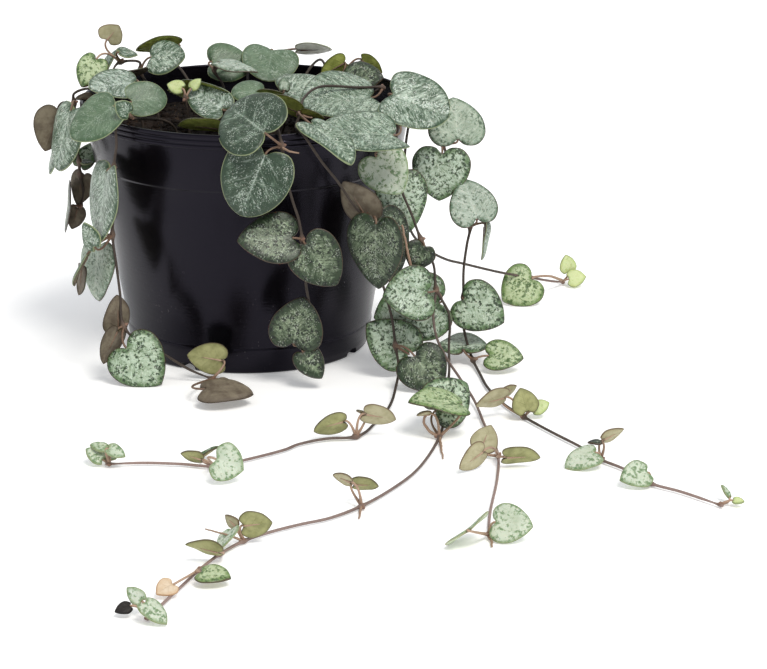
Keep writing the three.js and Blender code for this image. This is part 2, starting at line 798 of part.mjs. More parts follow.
// One vine as one body: its stems and leaves joined, without the slivers that joining leaves. Small hollows
// that the joining seals are filled, because only the largest body is kept.
function vineSolid(stems) {
  const pieces = [];
  for (const stops of stems) {
    const curve = stemCurve(stops);
    const path = curve.getSpacedPoints(stemSteps(curve));
    pieces.push(rod(curve, stemRadius, stemSides, stemSteps(curve)));
    for (const { at, leaves } of stops) {
      for (const blade of leaves) pieces.push(leafSolid(petioleRoot(path, at, blade.notch), blade));
    }
  }
  const joined = pieces.reduce((whole, piece) => whole.add(piece)).asOriginal().simplify(shortestEdge);
  const bodies = joined.decompose();
  return bodies.reduce((largest, body) => (body.volume() > largest.volume() ? body : largest));
}

const vines = [
  { name: 'vine_front_left', stems: frontLeft },
  { name: 'vine_front_centre', stems: frontCentre },
  { name: 'vine_left_runner', stems: leftRunner },
  { name: 'vine_front_runner', stems: frontRunner },
  { name: 'vine_right_runner', stems: rightRunner },
  { name: 'vine_far_runner', stems: farRunner },
  { name: 'vine_left_hanging', stems: leftHanging },
  { name: 'shoot_back_left', stems: shootBackLeft },
  { name: 'shoot_back', stems: shootBack },
  { name: 'shoot_middle', stems: shootMiddle },
  { name: 'shoot_right', stems: shootRight },
  { name: 'shoot_front', stems: shootFront },
  { name: 'shoot_front_left', stems: shootFrontLeft },
  { name: 'shoot_front_edge', stems: shootFrontEdge },
  ...hiddenVines.map((vine) => ({ name: vine.name, stems: hiddenVine(vine) })),
];

const potPlant = new THREE.Group();
potPlant.add(namedMesh('pot', geometryOf(potSolid()), 0x1b1a1f, 0.45));
const roots = vines.flatMap(({ stems }) => stems.map((stops) => stops[0].at))
  .filter(({ z }) => z === rootBottom);
potPlant.add(namedMesh('soil', geometryOf(soilSolid(roots)), 0x1d1612, 0.95));
for (const { name, stems } of vines) {
  potPlant.add(namedMesh(name, geometryOf(vineSolid(stems)), 0x6f8468, 0.5));
}

export default potPlant;
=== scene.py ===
# %% [markdown]
# # A potted string of hearts
#
# This lesson dresses a small trailing plant in a black nursery pot. The packed CAD model is the frame:
# it says where the pot, the soil and every stem and leaf are. Each node of it is replaced by a finer
# piece in the same place, built from the same named sizes, with the veins, marbling and gloss that a
# solid leaves out.
#
# Sizes are written in millimetres, as on the real plant, and turned into metres when a mesh is made.
# The camera's place, the depths of bumps and the patterns of pot and soil are in metres, as Blender
# takes them.

# %% Load the frame
import math

import bmesh
import bpy
import numpy as np
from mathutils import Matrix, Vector, noise


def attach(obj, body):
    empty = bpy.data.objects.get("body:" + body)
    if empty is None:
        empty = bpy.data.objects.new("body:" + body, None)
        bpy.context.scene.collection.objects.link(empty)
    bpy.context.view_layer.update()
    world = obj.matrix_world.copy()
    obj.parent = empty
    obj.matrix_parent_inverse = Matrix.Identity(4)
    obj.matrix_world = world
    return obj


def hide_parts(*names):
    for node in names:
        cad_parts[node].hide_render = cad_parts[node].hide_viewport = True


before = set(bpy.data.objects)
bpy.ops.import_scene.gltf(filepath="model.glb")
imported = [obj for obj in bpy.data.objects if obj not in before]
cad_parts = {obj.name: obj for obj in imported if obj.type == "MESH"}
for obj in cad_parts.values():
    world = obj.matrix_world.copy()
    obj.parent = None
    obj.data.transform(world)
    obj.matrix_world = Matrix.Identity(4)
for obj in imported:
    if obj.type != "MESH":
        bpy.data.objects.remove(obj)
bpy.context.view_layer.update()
MM = 0.001
print("CAD nodes:", len(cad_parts))

# %% [markdown]
# ## Camera
#
# The photograph was taken with a long lens from a little above the pot, so its upright lines stay
# nearly parallel. The camera could be placed by eye, but its height, distance and tilt were worked out
# from the ellipse of the rim and the pot's base, and are kept here as numbers.

# %% Camera
CAMERA_PLACE = (0.0442, -1.01233, 0.30811)
CAMERA_TILT_DOWN = 16.85
LENS = 149.96
SENSOR = 36.0
NEAREST_SEEN = 0.01


def placed(name, data):
    """An object in the scene for a camera, a lamp or a mesh."""
    made = bpy.data.objects.new(name, data)
    bpy.context.scene.collection.objects.link(made)
    return made


camera = placed("camera", bpy.data.cameras.new("camera"))
camera.data.lens = LENS
camera.data.sensor_width = SENSOR
camera.data.clip_start = NEAREST_SEEN
camera.location = CAMERA_PLACE
camera.rotation_euler = (math.radians(90 - CAMERA_TILT_DOWN), 0, 0)
bpy.context.scene.camera = camera
print("camera at", tuple(camera.location))

# %% [markdown]
# ## Shader maths as Python
#
# A leaf's marbling is a sum of many small patterns. Wiring each by hand hides the idea, so one small
# class wraps a socket and lets plain Python add, multiply and compare it. Each operator adds the Math
# node for it.

# %% A socket that can be used in sums
class Value:
    """One output of a node, which Python's operators can work with."""

    def __init__(self, shader, socket):
        self.shader = shader
        self.socket = socket

    def maths(self, operation, *values):
        return self.shader.node("ShaderNodeMath", {"operation": operation}, dict(enumerate(values)))

    def __add__(self, other):
        return self.maths("ADD", self, other)

    def __radd__(self, other):
        return self.maths("ADD", other, self)

    def __sub__(self, other):
        return self.maths("SUBTRACT", self, other)

    def __rsub__(self, other):
        return self.maths("SUBTRACT", other, self)

    def __mul__(self, other):
        return self.maths("MULTIPLY", self, other)

    def __rmul__(self, other):
        return self.maths("MULTIPLY", other, self)

    def __truediv__(self, other):
        return self.maths("DIVIDE", self, other)

    def __abs__(self):
        return self.maths("ABSOLUTE", self)

    def fraction(self):
        return self.maths("FRACT", self)

    def most(self, other):
        return self.maths("MAXIMUM", self, other)

    def between(self, low, high):
        """0 below low, 1 above high, and a smooth step between them."""
        inputs = {"Value": self, "From Min": low, "From Max": high}
        return self.shader.node("ShaderNodeMapRange", {"interpolation_type": "SMOOTHSTEP"}, inputs)


print("a socket can:", ", ".join(name.strip("_") for name, made in vars(Value).items() if callable(made)))

# %% A material that is built from such sockets
WHITE = (1.0, 1.0, 1.0, 1.0)


def srgb(red, green, blue):
    """A colour as it looks on a screen, from 0 to 255, as the linear numbers that a shader takes."""
    shares = [channel / 255 for channel in (red, green, blue)]
    linear = [share / 12.92 if share <= 0.04045 else ((share + 0.055) / 1.055) ** 2.4 for share in shares]
    return (*linear, 1.0)


class Shader:
    """One material with a Principled surface."""

    def __init__(self, name, **surface):
        self.material = bpy.data.materials.new(name)
        self.material.use_nodes = True
        self.tree = self.material.node_tree
        self.surface = self.tree.nodes["Principled BSDF"]
        for socket, value in surface.items():
            self.surface.inputs[socket.replace("_", " ")].default_value = value

    def node(self, kind, settings=None, inputs=None, output=0):
        made = self.tree.nodes.new(kind)
        for name, value in (settings or {}).items():
            setattr(made, name, value)
        for name, value in (inputs or {}).items():
            if isinstance(value, Value):
                self.tree.links.new(value.socket, made.inputs[name])
            else:
                made.inputs[name].default_value = value
        return Value(self, made.outputs[output])

    def numbers(self, vector):
        """The three numbers of a vector."""
        return [self.node("ShaderNodeSeparateXYZ", None, {0: vector}, i) for i in range(3)]

    def painted(self, name):
        """A vector that the mesh carries at its points."""
        return self.node("ShaderNodeAttribute", {"attribute_name": name}, output="Vector")

    def object_place(self):
        return self.node("ShaderNodeTexCoord", output="Object")

    def vector_maths(self, operation, *values):
        return self.node("ShaderNodeVectorMath", {"operation": operation}, dict(enumerate(values)))

    def noise(self, vector, scale, detail=2.0, roughness=0.5, output=0):
        inputs = {"Vector": vector, "Scale": scale, "Detail": detail, "Roughness": roughness}
        return self.node("ShaderNodeTexNoise", None, inputs, output)

    def cells(self, vector, scale):
        return self.node("ShaderNodeTexVoronoi", None, {"Vector": vector, "Scale": scale}, "Distance")

    def mix(self, share, first, second):
        """first where share is 0 and second where it is 1, as colours."""
        return self.node("ShaderNodeMix", {"data_type": "RGBA"}, {0: share, 6: first, 7: second}, 2)

    def tinted(self, colour, share, by):
        """colour times by, as far as share says."""
        settings = {"data_type": "RGBA", "blend_type": "MULTIPLY"}
        return self.node("ShaderNodeMix", settings, {0: share, 6: colour, 7: (*by, 1.0)}, 2)

    def finish(self, colour, roughness, height, depth):
        """Feeds the surface. depth is how far in metres a height of 1 stands out."""
        bump = self.node("ShaderNodeBump", None, {"Height": height, "Distance": depth, "Strength": 1.0})
        for socket, value in (("Base Color", colour), ("Roughness", roughness), ("Normal", bump)):
            self.tree.links.new(value.socket, self.surface.inputs[socket])
        return self.material


print("mid grey as a shader takes it:", round(srgb(128, 128, 128)[0], 3))

# %% [markdown]
# ## The plant's plan
#
# A trailing plant is a few stems that wander. Each stem is a list of stops: bare bends, and knots where
# its leaves sit. A curve is passed through them later. The stops and the leaves' places repeat those of
# the CAD source, so the fine plant hangs just where the solid one does. A leaf is given by the letter
# of its look, its notch, its tip, the way that its upper face looks, and its width where that isn't the
# usual one.

# %% Stops, knots and leaves
ROOT_BOTTOM = 60
ROOT_TOP = 74


def leaf(look, notch, tip, face, width=1):
    return {"notch": Vector(notch), "tip": Vector(tip), "face": Vector(face), "width": width, "look": look}


def knot(place, *leaves):
    return [{"at": Vector(place), "leaves": leaves}]


def bends(*places):
    return [{"at": Vector(place), "leaves": []} for place in places]


def root(x, y):
    """The foot of a stem, which stands in the soil."""
    return bends(*[(x, y, height) for height in (ROOT_BOTTOM, (ROOT_BOTTOM + ROOT_TOP) / 2, ROOT_TOP)])


def stem(*stretches):
    return [stop for stretch in stretches for stop in stretch]


VINES = {}


def leaves_of(name):
    return [one for stops in VINES[name] for stop in stops for one in stop["leaves"]]


print("heights of a stem's foot:", [stop["at"].z for stop in root(0, 0)])

# %% Over the rim at the front left, down the wall, then right along the floor
VINES["vine_front_left"] = [stem(
    root(-22, -16),
    bends((-25, -22, 79)),
    knot((-35, -35, 83),
        leaf("p", (-40, -37, 87), (-53, -42, 78), (-3, -6, 8)),
        leaf("p", (-35, -30, 87), (-24, -26, 88), (0, -8, 6)),
        leaf("s", (-35, -42, 86), (-39, -44, 90), (-2, -8, 6))),
    bends((-37, -38, 85), (-39, -42, 82), (-39, -43, 76)),
    knot((-40, -43, 69),
        leaf("s", (-42, -44, 68), (-45, -47, 46), (-9, -4, 1), 0.95),
        leaf("s", (-43, -36, 65), (-47, -35, 45), (-9, -4, 1))),
    bends((-40, -42, 58)),
    knot((-41, -42, 47),
        leaf("l", (-46, -34, 41), (-48, -35, 23), (-8, -6, 1), 1.05),
        leaf("s", (-46, -49, 45), (-50, -46, 52), (-8, -5, 3)),
        leaf("s", (-49, -45, 41), (-54, -43, 31), (-9, 1, 3), 0.9),
        leaf("b", (-51, -38, 35), (-52, -38, 26), (8, 4, 1), 0.8)),
    bends((-40, -42, 37), (-39, -43, 28)),
    knot((-38, -45, 18),
        leaf("b", (-40, -44, 17), (-40, -44, 28), (-7, 7, 0)),
        leaf("b", (-40, -47, 17), (-45, -49, 7), (-5, 7, 6), 0.9),
        leaf("m", (-37, -49, 12), (-26, -53, 1), (0, -10, 2), 1.15)),
    bends((-33, -46, 13), (-25, -47, 9), (-17, -47, 4)),
    knot((-10, -47, 1),
        leaf("q", (-7, -46, 7), (-18, -46, 9), (0, 10, 2)),
        leaf("w", (-11, -70, 5), (4, -71, 5), (0, -2, 10)),
        leaf("w", (-7, -62, 4), (1, -63, 4), (0, 2, 10), 0.9),
        leaf("w", (-5, -54, 2), (-11, -54, 1), (0, -3, 10), 0.9)),
)]
print("leaves:", len(leaves_of("vine_front_left")))

# %% Over the rim at the front and down the middle of the wall
VINES["vine_front_centre"] = [stem(
    root(12, -20),
    bends((13, -30, 80), (11, -44, 84), (12, -54, 83)),
    knot((13, -56, 79),
        leaf("v", (8, -60, 84), (-4, -44, 89), (-2, -8, 6), 1.05),
        leaf("v", (8, -59, 77), (0, -61, 58), (-1, -10, 2))),
    bends((14, -56, 70), (16, -56, 62), (18, -55, 55)),
    knot((19, -55, 49),
        leaf("d", (16, -57, 50), (-1, -60, 50), (-2, -8, 5), 0.95),
        leaf("d", (20, -57, 48), (30, -58, 35), (1, -10, 2))),
    bends((20, -54, 41), (20, -53, 34), (21, -52, 25)),
    knot((19, -51, 14),
        leaf("d", (16, -54, 15), (19, -54, 30), (0, -9, 4), 1.1),
        leaf("d", (19, -54, 12), (25, -56, 4), (3, -9, 0), 0.9)),
)]
print("leaves:", len(leaves_of("vine_front_centre")))

# %% From the right of the soil, over the front rim, down the right of the wall, then left on the floor
VINES["vine_left_runner"] = [stem(
    root(40, 6),
    bends((41, 5, 82)),
    knot((44, 4, 84),
        leaf("s", (40, -2, 82), (18, -10, 83), (0, -4, 9), 1.15)),
    bends((36, 0, 85), (24, -8, 87), (19, -20, 86)),
    knot((18, -32, 84),
        leaf("o", (18, -31, 84), (7, -27, 88), (2, 6, 7)),
        leaf("o", (19, -33, 84), (26, -35, 83), (0, 6, 8), 0.9),
        leaf("s", (22, -53, 85), (35, -66, 77), (5, -5, 7), 0.66)),
    bends((17, -42, 82), (18, -51, 83), (20, -56, 82), (25, -55, 74), (30, -53, 67), (35, -48, 58)),
    knot((39, -45, 52),
        leaf("b", (39, -46, 54), (32, -47, 66), (4, 8, 3)),
        leaf("d", (42, -55, 54), (42, -56, 33), (-6, -8, 1)),
        leaf("d", (42, -41, 51), (48, -37, 30), (5, -8, 3), 0.9)),
    bends((40, -48, 45), (42, -48, 38), (44, -47, 32), (47, -43, 19)),
    knot((48, -44, 11),
        leaf("m", (52, -42, 8), (39, -43, 18), (-1, -10, 3)),
        leaf("d", (54, -55, 11), (62, -59, 1), (1, -10, 3), 1.2)),
    bends((49, -50, 6), (48, -62, 3), (46, -78, 2), (42, -90, 1)),
    knot((36, -104, 1),
        leaf("q", (32, -104, 6), (23, -106, 4), (0, 8, 5)),
        leaf("c", (39, -103, 8), (48, -102, 6), (0, 8, 5)),
        leaf("c", (38, -99, 7), (36, -100, 8), (0, 3, 9), 0.8)),
    bends((27, -106, 1), (19, -111, 1), (15, -116, 1), (4, -125, 1)),
    knot((-5, -131, 1),
        leaf("y", (-4, -142, 7), (4, -143, 4), (4, -8, 3), 1.35),
        leaf("q", (-9, -130, 3), (-15, -130, 5), (0, 8, 6), 0.9),
        leaf("q", (-9, -124, 2), (-4, -121, 4), (2, 4, 9), 0.7)),
    bends((-15, -129, 1), (-26, -128, 1)),
    knot((-36, -129, 1),
        leaf("y", (-38, -128, 2), (-43, -126, 5), (0, -5, 9), 0.9),
        leaf("y", (-37, -126, 2), (-34, -127, 2), (0, -4, 9), 0.9),
        leaf("y", (-36, -130, 6), (-31, -131, 4), (0, -5, 9), 0.9),
        leaf("y", (-37, -127, 5), (-42, -125, 6), (0, -3, 9), 0.8)),
)]
print("leaves:", len(leaves_of("vine_left_runner")))

# %% The longest vine: down the right side, then left and forward on the floor, with a branch
VINES["vine_front_runner"] = [stem(
    root(43, -10),
    bends((45, -14, 80)),
    knot((47, -18, 85),
        leaf("s", (47, -24, 88), (65, -28, 82), (0, -6, 8), 1.1)),
    bends((46, -22, 85), (48, -27, 85)),
    knot((49, -31, 81),
        leaf("s", (47, -42, 79), (25, -53, 82), (0, -4, 9), 0.85)),
    bends((48, -31, 74)),
    knot((48, -31, 69),
        leaf("y", (42, -37, 71), (50, -41, 60), (-1, -10, 3), 1.1),
        leaf("m", (49, -30, 62), (52, -33, 45), (2, -9, 4), 0.95)),
    bends((50, -33, 59), (53, -35, 52)),
    knot((56, -36, 44),
        leaf("d", (57, -37, 42), (53, -39, 35), (2, -9, 3), 1.2)),
    bends((60, -37, 36)),
    knot((61, -38, 28),
        leaf("m", (58, -45, 29), (44, -49, 29), (-1, -9, 4), 1.2),
        leaf("m", (62, -36, 23), (41, -36, 18), (0, -10, 3))),
    bends((65, -39, 20), (65, -41, 10), (65, -48, 4), (64, -60, 2), (63, -80, 1)),
    knot((61, -104, 1),
        leaf("m", (60, -94, 6), (70, -88, 13), (2, -9, 4), 1.15),
        leaf("g", (67, -98, 9), (52, -103, 13), (0, -2, 10)),
        leaf("c", (58, -103, 8), (54, -104, 8), (0, 6, 8))),
    bends((54, -134, 1), (47, -150, 1)),
    knot((38, -165, 1),
        leaf("c", (35, -164, 8), (30, -163, 10), (0, 8, 6), 0.9),
        leaf("q", (36, -160, 6), (43, -161, 6), (0, 8, 6))),
    bends((29, -175, 1), (21, -180, 1), (13, -186, 1)),
    knot((6, -193, 1),
        leaf("q", (6, -194, 6), (14, -194, 7), (-1, 10, 3), 1.15),
        leaf("c", (4, -192, 5), (1, -191, 8), (0, 8, 6)),
        leaf("y", (3, -195, 5), (0, -202, 2), (-5, 0, 8), 0.9)),
    knot((0, -203, 1),
        leaf("q", (0, -209, 4), (-9, -208, 6), (0, 7, 7), 0.9)),
    knot((-5, -215, 1),
        leaf("g", (-4, -222, 3), (4, -225, 3), (0, -2, 10), 1.1),
        leaf("x", (-11, -231, 3), (-15, -235, 2), (2, -5, 8))),
    bends((-9, -227, 1), (-13, -239, 1)),
    knot((-16, -249, 1),
        leaf("y", (-18, -245, 4), (-22, -243, 7), (-4, -6, 6), 0.8),
        leaf("y", (-17, -249, 5), (-11, -253, 1), (5, -6, 6), 0.8),
        leaf("k", (-21, -246, 3), (-25, -247, 2), (0, -6, 8), 0.9)),
), stem(
    bends((61, -38, 28), (60, -40, 20), (61, -44, 14), (64, -50, 9), (68, -58, 5), (72, -70, 2)),
    bends((75, -94, 1), (77, -108, 1)),
    knot((78, -122, 1),
        leaf("c", (73, -121, 3), (76, -117, 9), (3, 10, 0), 1.05),
        leaf("c", (73, -132, 6), (66, -136, 2), (-2, 9, 4)),
        leaf("q", (80, -131, 4), (90, -130, 4), (0, 8, 6), 0.9)),
    bends((77, -142, 1), (74, -171, 1)),
    knot((73, -188, 1),
        leaf("y", (75, -189, 5), (85, -192, 5), (1, -8, 6), 1.1),
        leaf("y", (67, -198, 6), (68, -186, 2), (-6, 0, 8), 1.15)),
)]
print("leaves:", len(leaves_of("vine_front_runner")))

# %% Over the rim at the right, down to the floor, then off to the right
VINES["vine_right_runner"] = [stem(
    root(45, 6),
    bends((48, 2, 80)),
    knot((50, -3, 86),
        leaf("s", (54, -1, 89), (62, -6, 83), (6, 0, 8), 0.8)),
    bends((54, -8, 85), (57, -11, 78)),
    knot((63, -14, 70),
        leaf("m", (63, -16, 67), (62, -19, 52), (0, -10, 3), 1.2),
        leaf("l", (68, -14, 71), (67, -8, 84), (2, -8, 5), 1.3)),
    bends((66, -17, 60), (70, -19, 50)),
    knot((72, -20, 44),
        leaf("l", (74, -23, 47), (70, -17, 59), (1, -8, 5), 1.1),
        leaf("s", (77, -20, 44), (76, -22, 33), (10, -2, 0), 0.8)),
    bends((71, -21, 38), (70, -22, 30)),
    knot((70, -23, 21),
        leaf("m", (70, -25, 21), (83, -28, 14), (1, -10, 3), 1.1)),
    bends((70, -25, 12), (72, -27, 4)),
    knot((73, -30, 2),
        leaf("m", (70, -29, 5), (70, -15, 7), (0, -2, 10), 1.1),
        leaf("g", (78, -35, 5), (89, -37, 5), (1, -7, 7))),
    bends((75, -42, 1), (77, -56, 1), (82, -74, 1)),
    knot((87, -85, 1),
        leaf("c", (81, -84, 7), (72, -88, 6), (0, 8, 6)),
        leaf("c", (81, -79, 6), (85, -78, 9), (0, 8, 6), 0.9),
        leaf("e", (88, -86, 3), (86, -84, 10), (1, -9, 4), 1.1),
        leaf("n", (90, -84, 3), (95, -83, 5), (1, -8, 6), 0.9)),
    bends((95, -100, 1), (103, -114, 1)),
    knot((108, -125, 1),
        leaf("y", (106, -128, 4), (97, -131, 1), (-1, -4, 9)),
        leaf("c", (109, -121, 6), (115, -120, 9), (0, 8, 6), 0.8),
        leaf("d", (108, -124, 6), (104, -124, 6), (0, -1, 10), 0.8)),
    bends((114, -133, 1)),
    knot((121, -146, 1),
        leaf("y", (120, -145, 4), (112, -148, 3), (-1, -7, 7), 1.05)),
    bends((129, -153, 1)),
    knot((139, -164, 1),
        leaf("y", (142, -160, 2), (140, -158, 5), (7, -5, 4), 0.6),
        leaf("n", (143, -163, 2), (146, -164, 2), (0, -6, 8), 0.8)),
)]
print("leaves:", len(leaves_of("vine_right_runner")))

# %% Leaves the right side high up and reaches back to the floor behind on the right
VINES["vine_far_runner"] = [stem(
    root(46, -4),
    bends((49, -9, 82), (52, -14, 85), (54, -19, 84), (52, -24, 77), (51, -23, 67), (52, -18, 54)),
    bends((53, -10, 40), (59, 2, 30), (65, 12, 24), (71, 21, 20), (84, 35, 13)),
    knot((95, 46, 8),
        leaf("g", (95, 41, 9), (85, 38, 2), (-1, -10, 3), 1.2)),
    bends((102, 56, 4)),
    knot((107, 65, 1),
        leaf("n", (109, 65, 5), (108, 65, 11), (2, -9, 3)),
        leaf("n", (109, 62, 3), (115, 62, 4), (1, -8, 6), 1.1)),
)]
print("leaves:", len(leaves_of("vine_far_runner")))

# %% Hangs over the rim at the left and ends halfway down the wall
VINES["vine_left_hanging"] = [stem(
    root(-34, -2),
    bends((-38, -4, 80)),
    knot((-47, -6, 85),
        leaf("b", (-49, -9, 84), (-55, -8, 83), (0, 5, 8))),
    bends((-52, -2, 85), (-56, -1, 83)),
    knot((-56, 0, 80),
        leaf("b", (-61, -2, 77), (-66, -4, 65), (-5, 8, 1), 1.1),
        leaf("b", (-58, 1, 79), (-62, 1, 77), (-2, 8, 5)),
        leaf("s", (-56, -12, 80), (-61, -15, 61), (-8, -5, 1), 0.95),
        leaf("s", (-60, 8, 73), (-66, 9, 54), (-10, -1, 0), 0.8)),
    bends((-56, 0, 76), (-56, 0, 68)),
    knot((-55, 1, 60),
        leaf("m", (-55, 6, 58), (-50, 10, 65), (-3, -8, 5), 0.8),
        leaf("s", (-54, 0, 60), (-50, 0, 60), (0, -3, 9), 0.8)),
    knot((-55, 1, 56),
        leaf("b", (-54, 3, 55), (-56, 3, 45), (5, 8, 0), 0.9)),
    bends((-54, 2, 50)),
    knot((-55, 2, 45),
        leaf("b", (-56, 3, 44), (-58, 2, 37), (3, 9, 2), 0.9),
        leaf("d", (-59, 2, 45), (-57, -13, 48), (-10, 0, 1), 1.1)),
)]
print("leaves:", len(leaves_of("vine_left_hanging")))

# %% A leafy shoot that lies on the rim at the back left
VINES["shoot_back_left"] = [stem(
    root(-30, 14),
    bends((-32, 18, 80)),
    knot((-36, 20, 86),
        leaf("s", (-32, 19, 91), (-21, 17, 92), (1, -6, 8), 1.25),
        leaf("o", (-25, 30, 93), (-38, 26, 93), (0, 6, 8)),
        leaf("b", (-37, 15, 86), (-44, 5, 88), (0, 6, 8))),
    bends((-36, 20, 89)),
    knot((-42, 16, 90),
        leaf("s", (-42, 12, 94), (-36, 14, 93), (0, -3, 10), 1.1),
        leaf("c", (-46, 13, 98), (-42, 13, 103), (1, 8, 5), 1.35),
        leaf("g", (-49, 6, 93), (-54, 2, 85), (-3, -9, 3)),
        leaf("s", (-45, 19, 92), (-48, 13, 86), (-8, -4, 4), 0.8)),
    knot((-44, 6, 89),
        leaf("s", (-36, -3, 87), (-50, -11, 87), (0, -4, 9))),
)]
print("leaves:", len(leaves_of("shoot_back_left")))

# %% A shoot on the back of the soil
VINES["shoot_back"] = [stem(
    root(-8, 22),
    bends((-9, 26, 80)),
    knot((-12, 28, 85),
        leaf("p", (-13, 35, 86), (0, 37, 85), (-1, -7, 7), 1.1),
        leaf("l", (-10, 24, 88), (3, 20, 86), (0, -1, 10), 0.7)),
    bends((-4, 34, 85)),
    knot((3, 40, 87),
        leaf("p", (7, 39, 89), (5, 28, 81), (1, -6, 8), 1.3),
        leaf("u", (16, 42, 89), (27, 42, 89), (0, 5, 8))),
)]
print("leaves:", len(leaves_of("shoot_back")))

# %% A short shoot in the middle of the soil
VINES["shoot_middle"] = [stem(
    root(8, 4),
    bends((9, 4, 80)),
    knot((10, 2, 82),
        leaf("p", (5, 4, 83), (-5, 0, 83), (0, -5, 8)),
        leaf("s", (12, 6, 83), (29, 10, 83), (0, -4, 9)),
        leaf("l", (12, 0, 84), (12, 3, 88), (2, -9, 3), 0.8),
        leaf("o", (11, -2, 83), (3, 0, 84), (0, 4, 9), 0.9)),
)]
print("leaves:", len(leaves_of("shoot_middle")))

# %% A short shoot at the right of the soil
VINES["shoot_right"] = [stem(
    root(26, 22),
    bends((27, 26, 80)),
    knot((31, 32, 83),
        leaf("o", (31, 34, 86), (23, 32, 82), (2, 8, 5)),
        leaf("o", (37, 34, 87), (44, 32, 83), (1, 8, 5), 0.9),
        leaf("d", (32, 26, 82), (44, 22, 84), (0, -7, 7), 1.05)),
)]
print("leaves:", len(leaves_of("shoot_right")))

# %% A short shoot on the front of the soil
VINES["shoot_front"] = [stem(
    root(-8, -10),
    bends((-8, -12, 80)),
    knot((-5, -14, 82),
        leaf("o", (-5, -8, 82), (-25, 0, 86), (1, 6, 8)),
        leaf("s", (-7, -19, 82), (-18, -11, 87), (-2, -6, 8), 0.8)),
)]
print("leaves:", len(leaves_of("shoot_front")))

# %% A young shoot at the front left of the soil
VINES["shoot_front_left"] = [stem(
    root(-18, -14),
    bends((-18, -15, 78)),
    knot((-19, -16, 85),
        leaf("n", (-20, -15, 88), (-25, -13, 89), (-2, -8, 6), 0.9),
        leaf("n", (-17, -15, 88), (-14, -14, 91), (2, -8, 6), 0.8)),
)]
print("leaves:", len(leaves_of("shoot_front_left")))

# %% A short shoot behind the front rim
VINES["shoot_front_edge"] = [stem(
    root(-6, -32),
    bends((-6, -34, 79)),
    knot((-6, -40, 81),
        leaf("o", (-7, -40, 81), (-20, -38, 82), (0, 5, 8))),
)]
print("leaves:", len(leaves_of("shoot_front_edge")))

# %% [markdown]
# ## The vines behind the pot
#
# The photograph doesn't show the pot's back. A plant like this hangs on all sides, so a few vines are
# grown there by a rule with seeded draws. The rule and the order of its draws repeat the CAD source.

# %% Grow the hidden vines
POT_HEIGHT = 81.7
RIM_RADIUS = 54
HIDDEN_VINES = [
    ("vine_hidden_back_left", 122, 30, 11),
    ("vine_hidden_back", 92, 12, 23),
    ("vine_hidden_back_right", 64, 40, 37),
]
HIDDEN_ROOT_RADIUS = 33.5
CROSSING_HEIGHT = 84
CROSSING_INSET = 9
HANGING_CLEARANCE = 3.4
FIRST_HANGING_DROP = 4
KNOT_SPACING = 15
SPACING_SHARES = (0.85, 1.15)
KNOT_WANDER = (-1.5, 1.5)
HIDDEN_LENGTHS = (9, 16)
HIDDEN_PETIOLE = 2
HIDDEN_PETIOLE_SHARE = 0.3
HIDDEN_STAND_OFF = 2.5
HIDDEN_STAND_OFF_STEP = 1.5
HIDDEN_ASIDE = (0.35, 0.5)
HIDDEN_OUT = 0.1
HIDDEN_DROP = 0.75
HIDDEN_FACE_OUT = 8
HIDDEN_FACE_UP = (3, 5)
HIDDEN_WIDTHS = (0.85, 1.0)
HIDDEN_LOOKS = "mdsm"
WORD = 0xFFFFFFFF
UP = Vector((0, 0, 1))


def random_from(seed):
    """Seeded random numbers from 0 to 1, the same as in the CAD source."""
    state = seed
    while True:
        state = (state + 0x6D2B79F5) & WORD
        mixed = ((state ^ (state >> 15)) * (state | 1)) & WORD
        mixed ^= (mixed + (((mixed ^ (mixed >> 7)) * (mixed | 61)) & WORD)) & WORD
        yield (mixed ^ (mixed >> 14)) / (WORD + 1)


def drawn(limits, draw):
    """The number that lies between two limits, by a draw from 0 to 1."""
    return limits[0] + (limits[1] - limits[0]) * draw


def hidden_pair(at, outward, sideways, random, number):
    pair = []
    for side in (-1, 1):
        length = drawn(HIDDEN_LENGTHS, next(random))
        petiole = HIDDEN_PETIOLE + HIDDEN_PETIOLE_SHARE * length
        stand_off = HIDDEN_STAND_OFF + HIDDEN_STAND_OFF_STEP * side + next(random)
        notch = at + side * petiole * sideways + stand_off * outward
        aside = side * drawn(HIDDEN_ASIDE, next(random))
        tip = notch + length * (aside * sideways + HIDDEN_OUT * outward - HIDDEN_DROP * UP)
        face = HIDDEN_FACE_OUT * outward + drawn(HIDDEN_FACE_UP, next(random)) * UP
        look = HIDDEN_LOOKS[(2 * number + side) % len(HIDDEN_LOOKS)]
        pair.append(leaf(look, notch, tip, face, drawn(HIDDEN_WIDTHS, next(random))))
    return pair


def hidden_vine(angle, lowest, seed):
    random = random_from(seed)
    turn = math.radians(angle)
    outward = Vector((math.cos(turn), math.sin(turn), 0))
    sideways = Vector((-outward.y, outward.x, 0))
    foot = HIDDEN_ROOT_RADIUS * outward
    stops = root(foot.x, foot.y) + bends(
        (RIM_RADIUS - CROSSING_INSET) * outward + (CROSSING_HEIGHT - 1) * UP,
        (RIM_RADIUS - 1) * outward + CROSSING_HEIGHT * UP,
        (RIM_RADIUS + HANGING_CLEARANCE) * outward + (POT_HEIGHT - FIRST_HANGING_DROP) * UP,
    )
    height = POT_HEIGHT - KNOT_SPACING
    while height > lowest:
        aside = drawn(KNOT_WANDER, next(random))
        at = (RIM_RADIUS + HANGING_CLEARANCE - 1) * outward + aside * sideways + height * UP
        stops += knot(at, *hidden_pair(at, outward, sideways, random, len(stops)))
        height -= KNOT_SPACING * drawn(SPACING_SHARES, next(random))
    return stops


for name, angle, lowest, seed in HIDDEN_VINES:
    VINES[name] = [hidden_vine(angle, lowest, seed)]
print("vines:", len(VINES), "leaves:", sum(len(leaves_of(name)) for name in VINES))

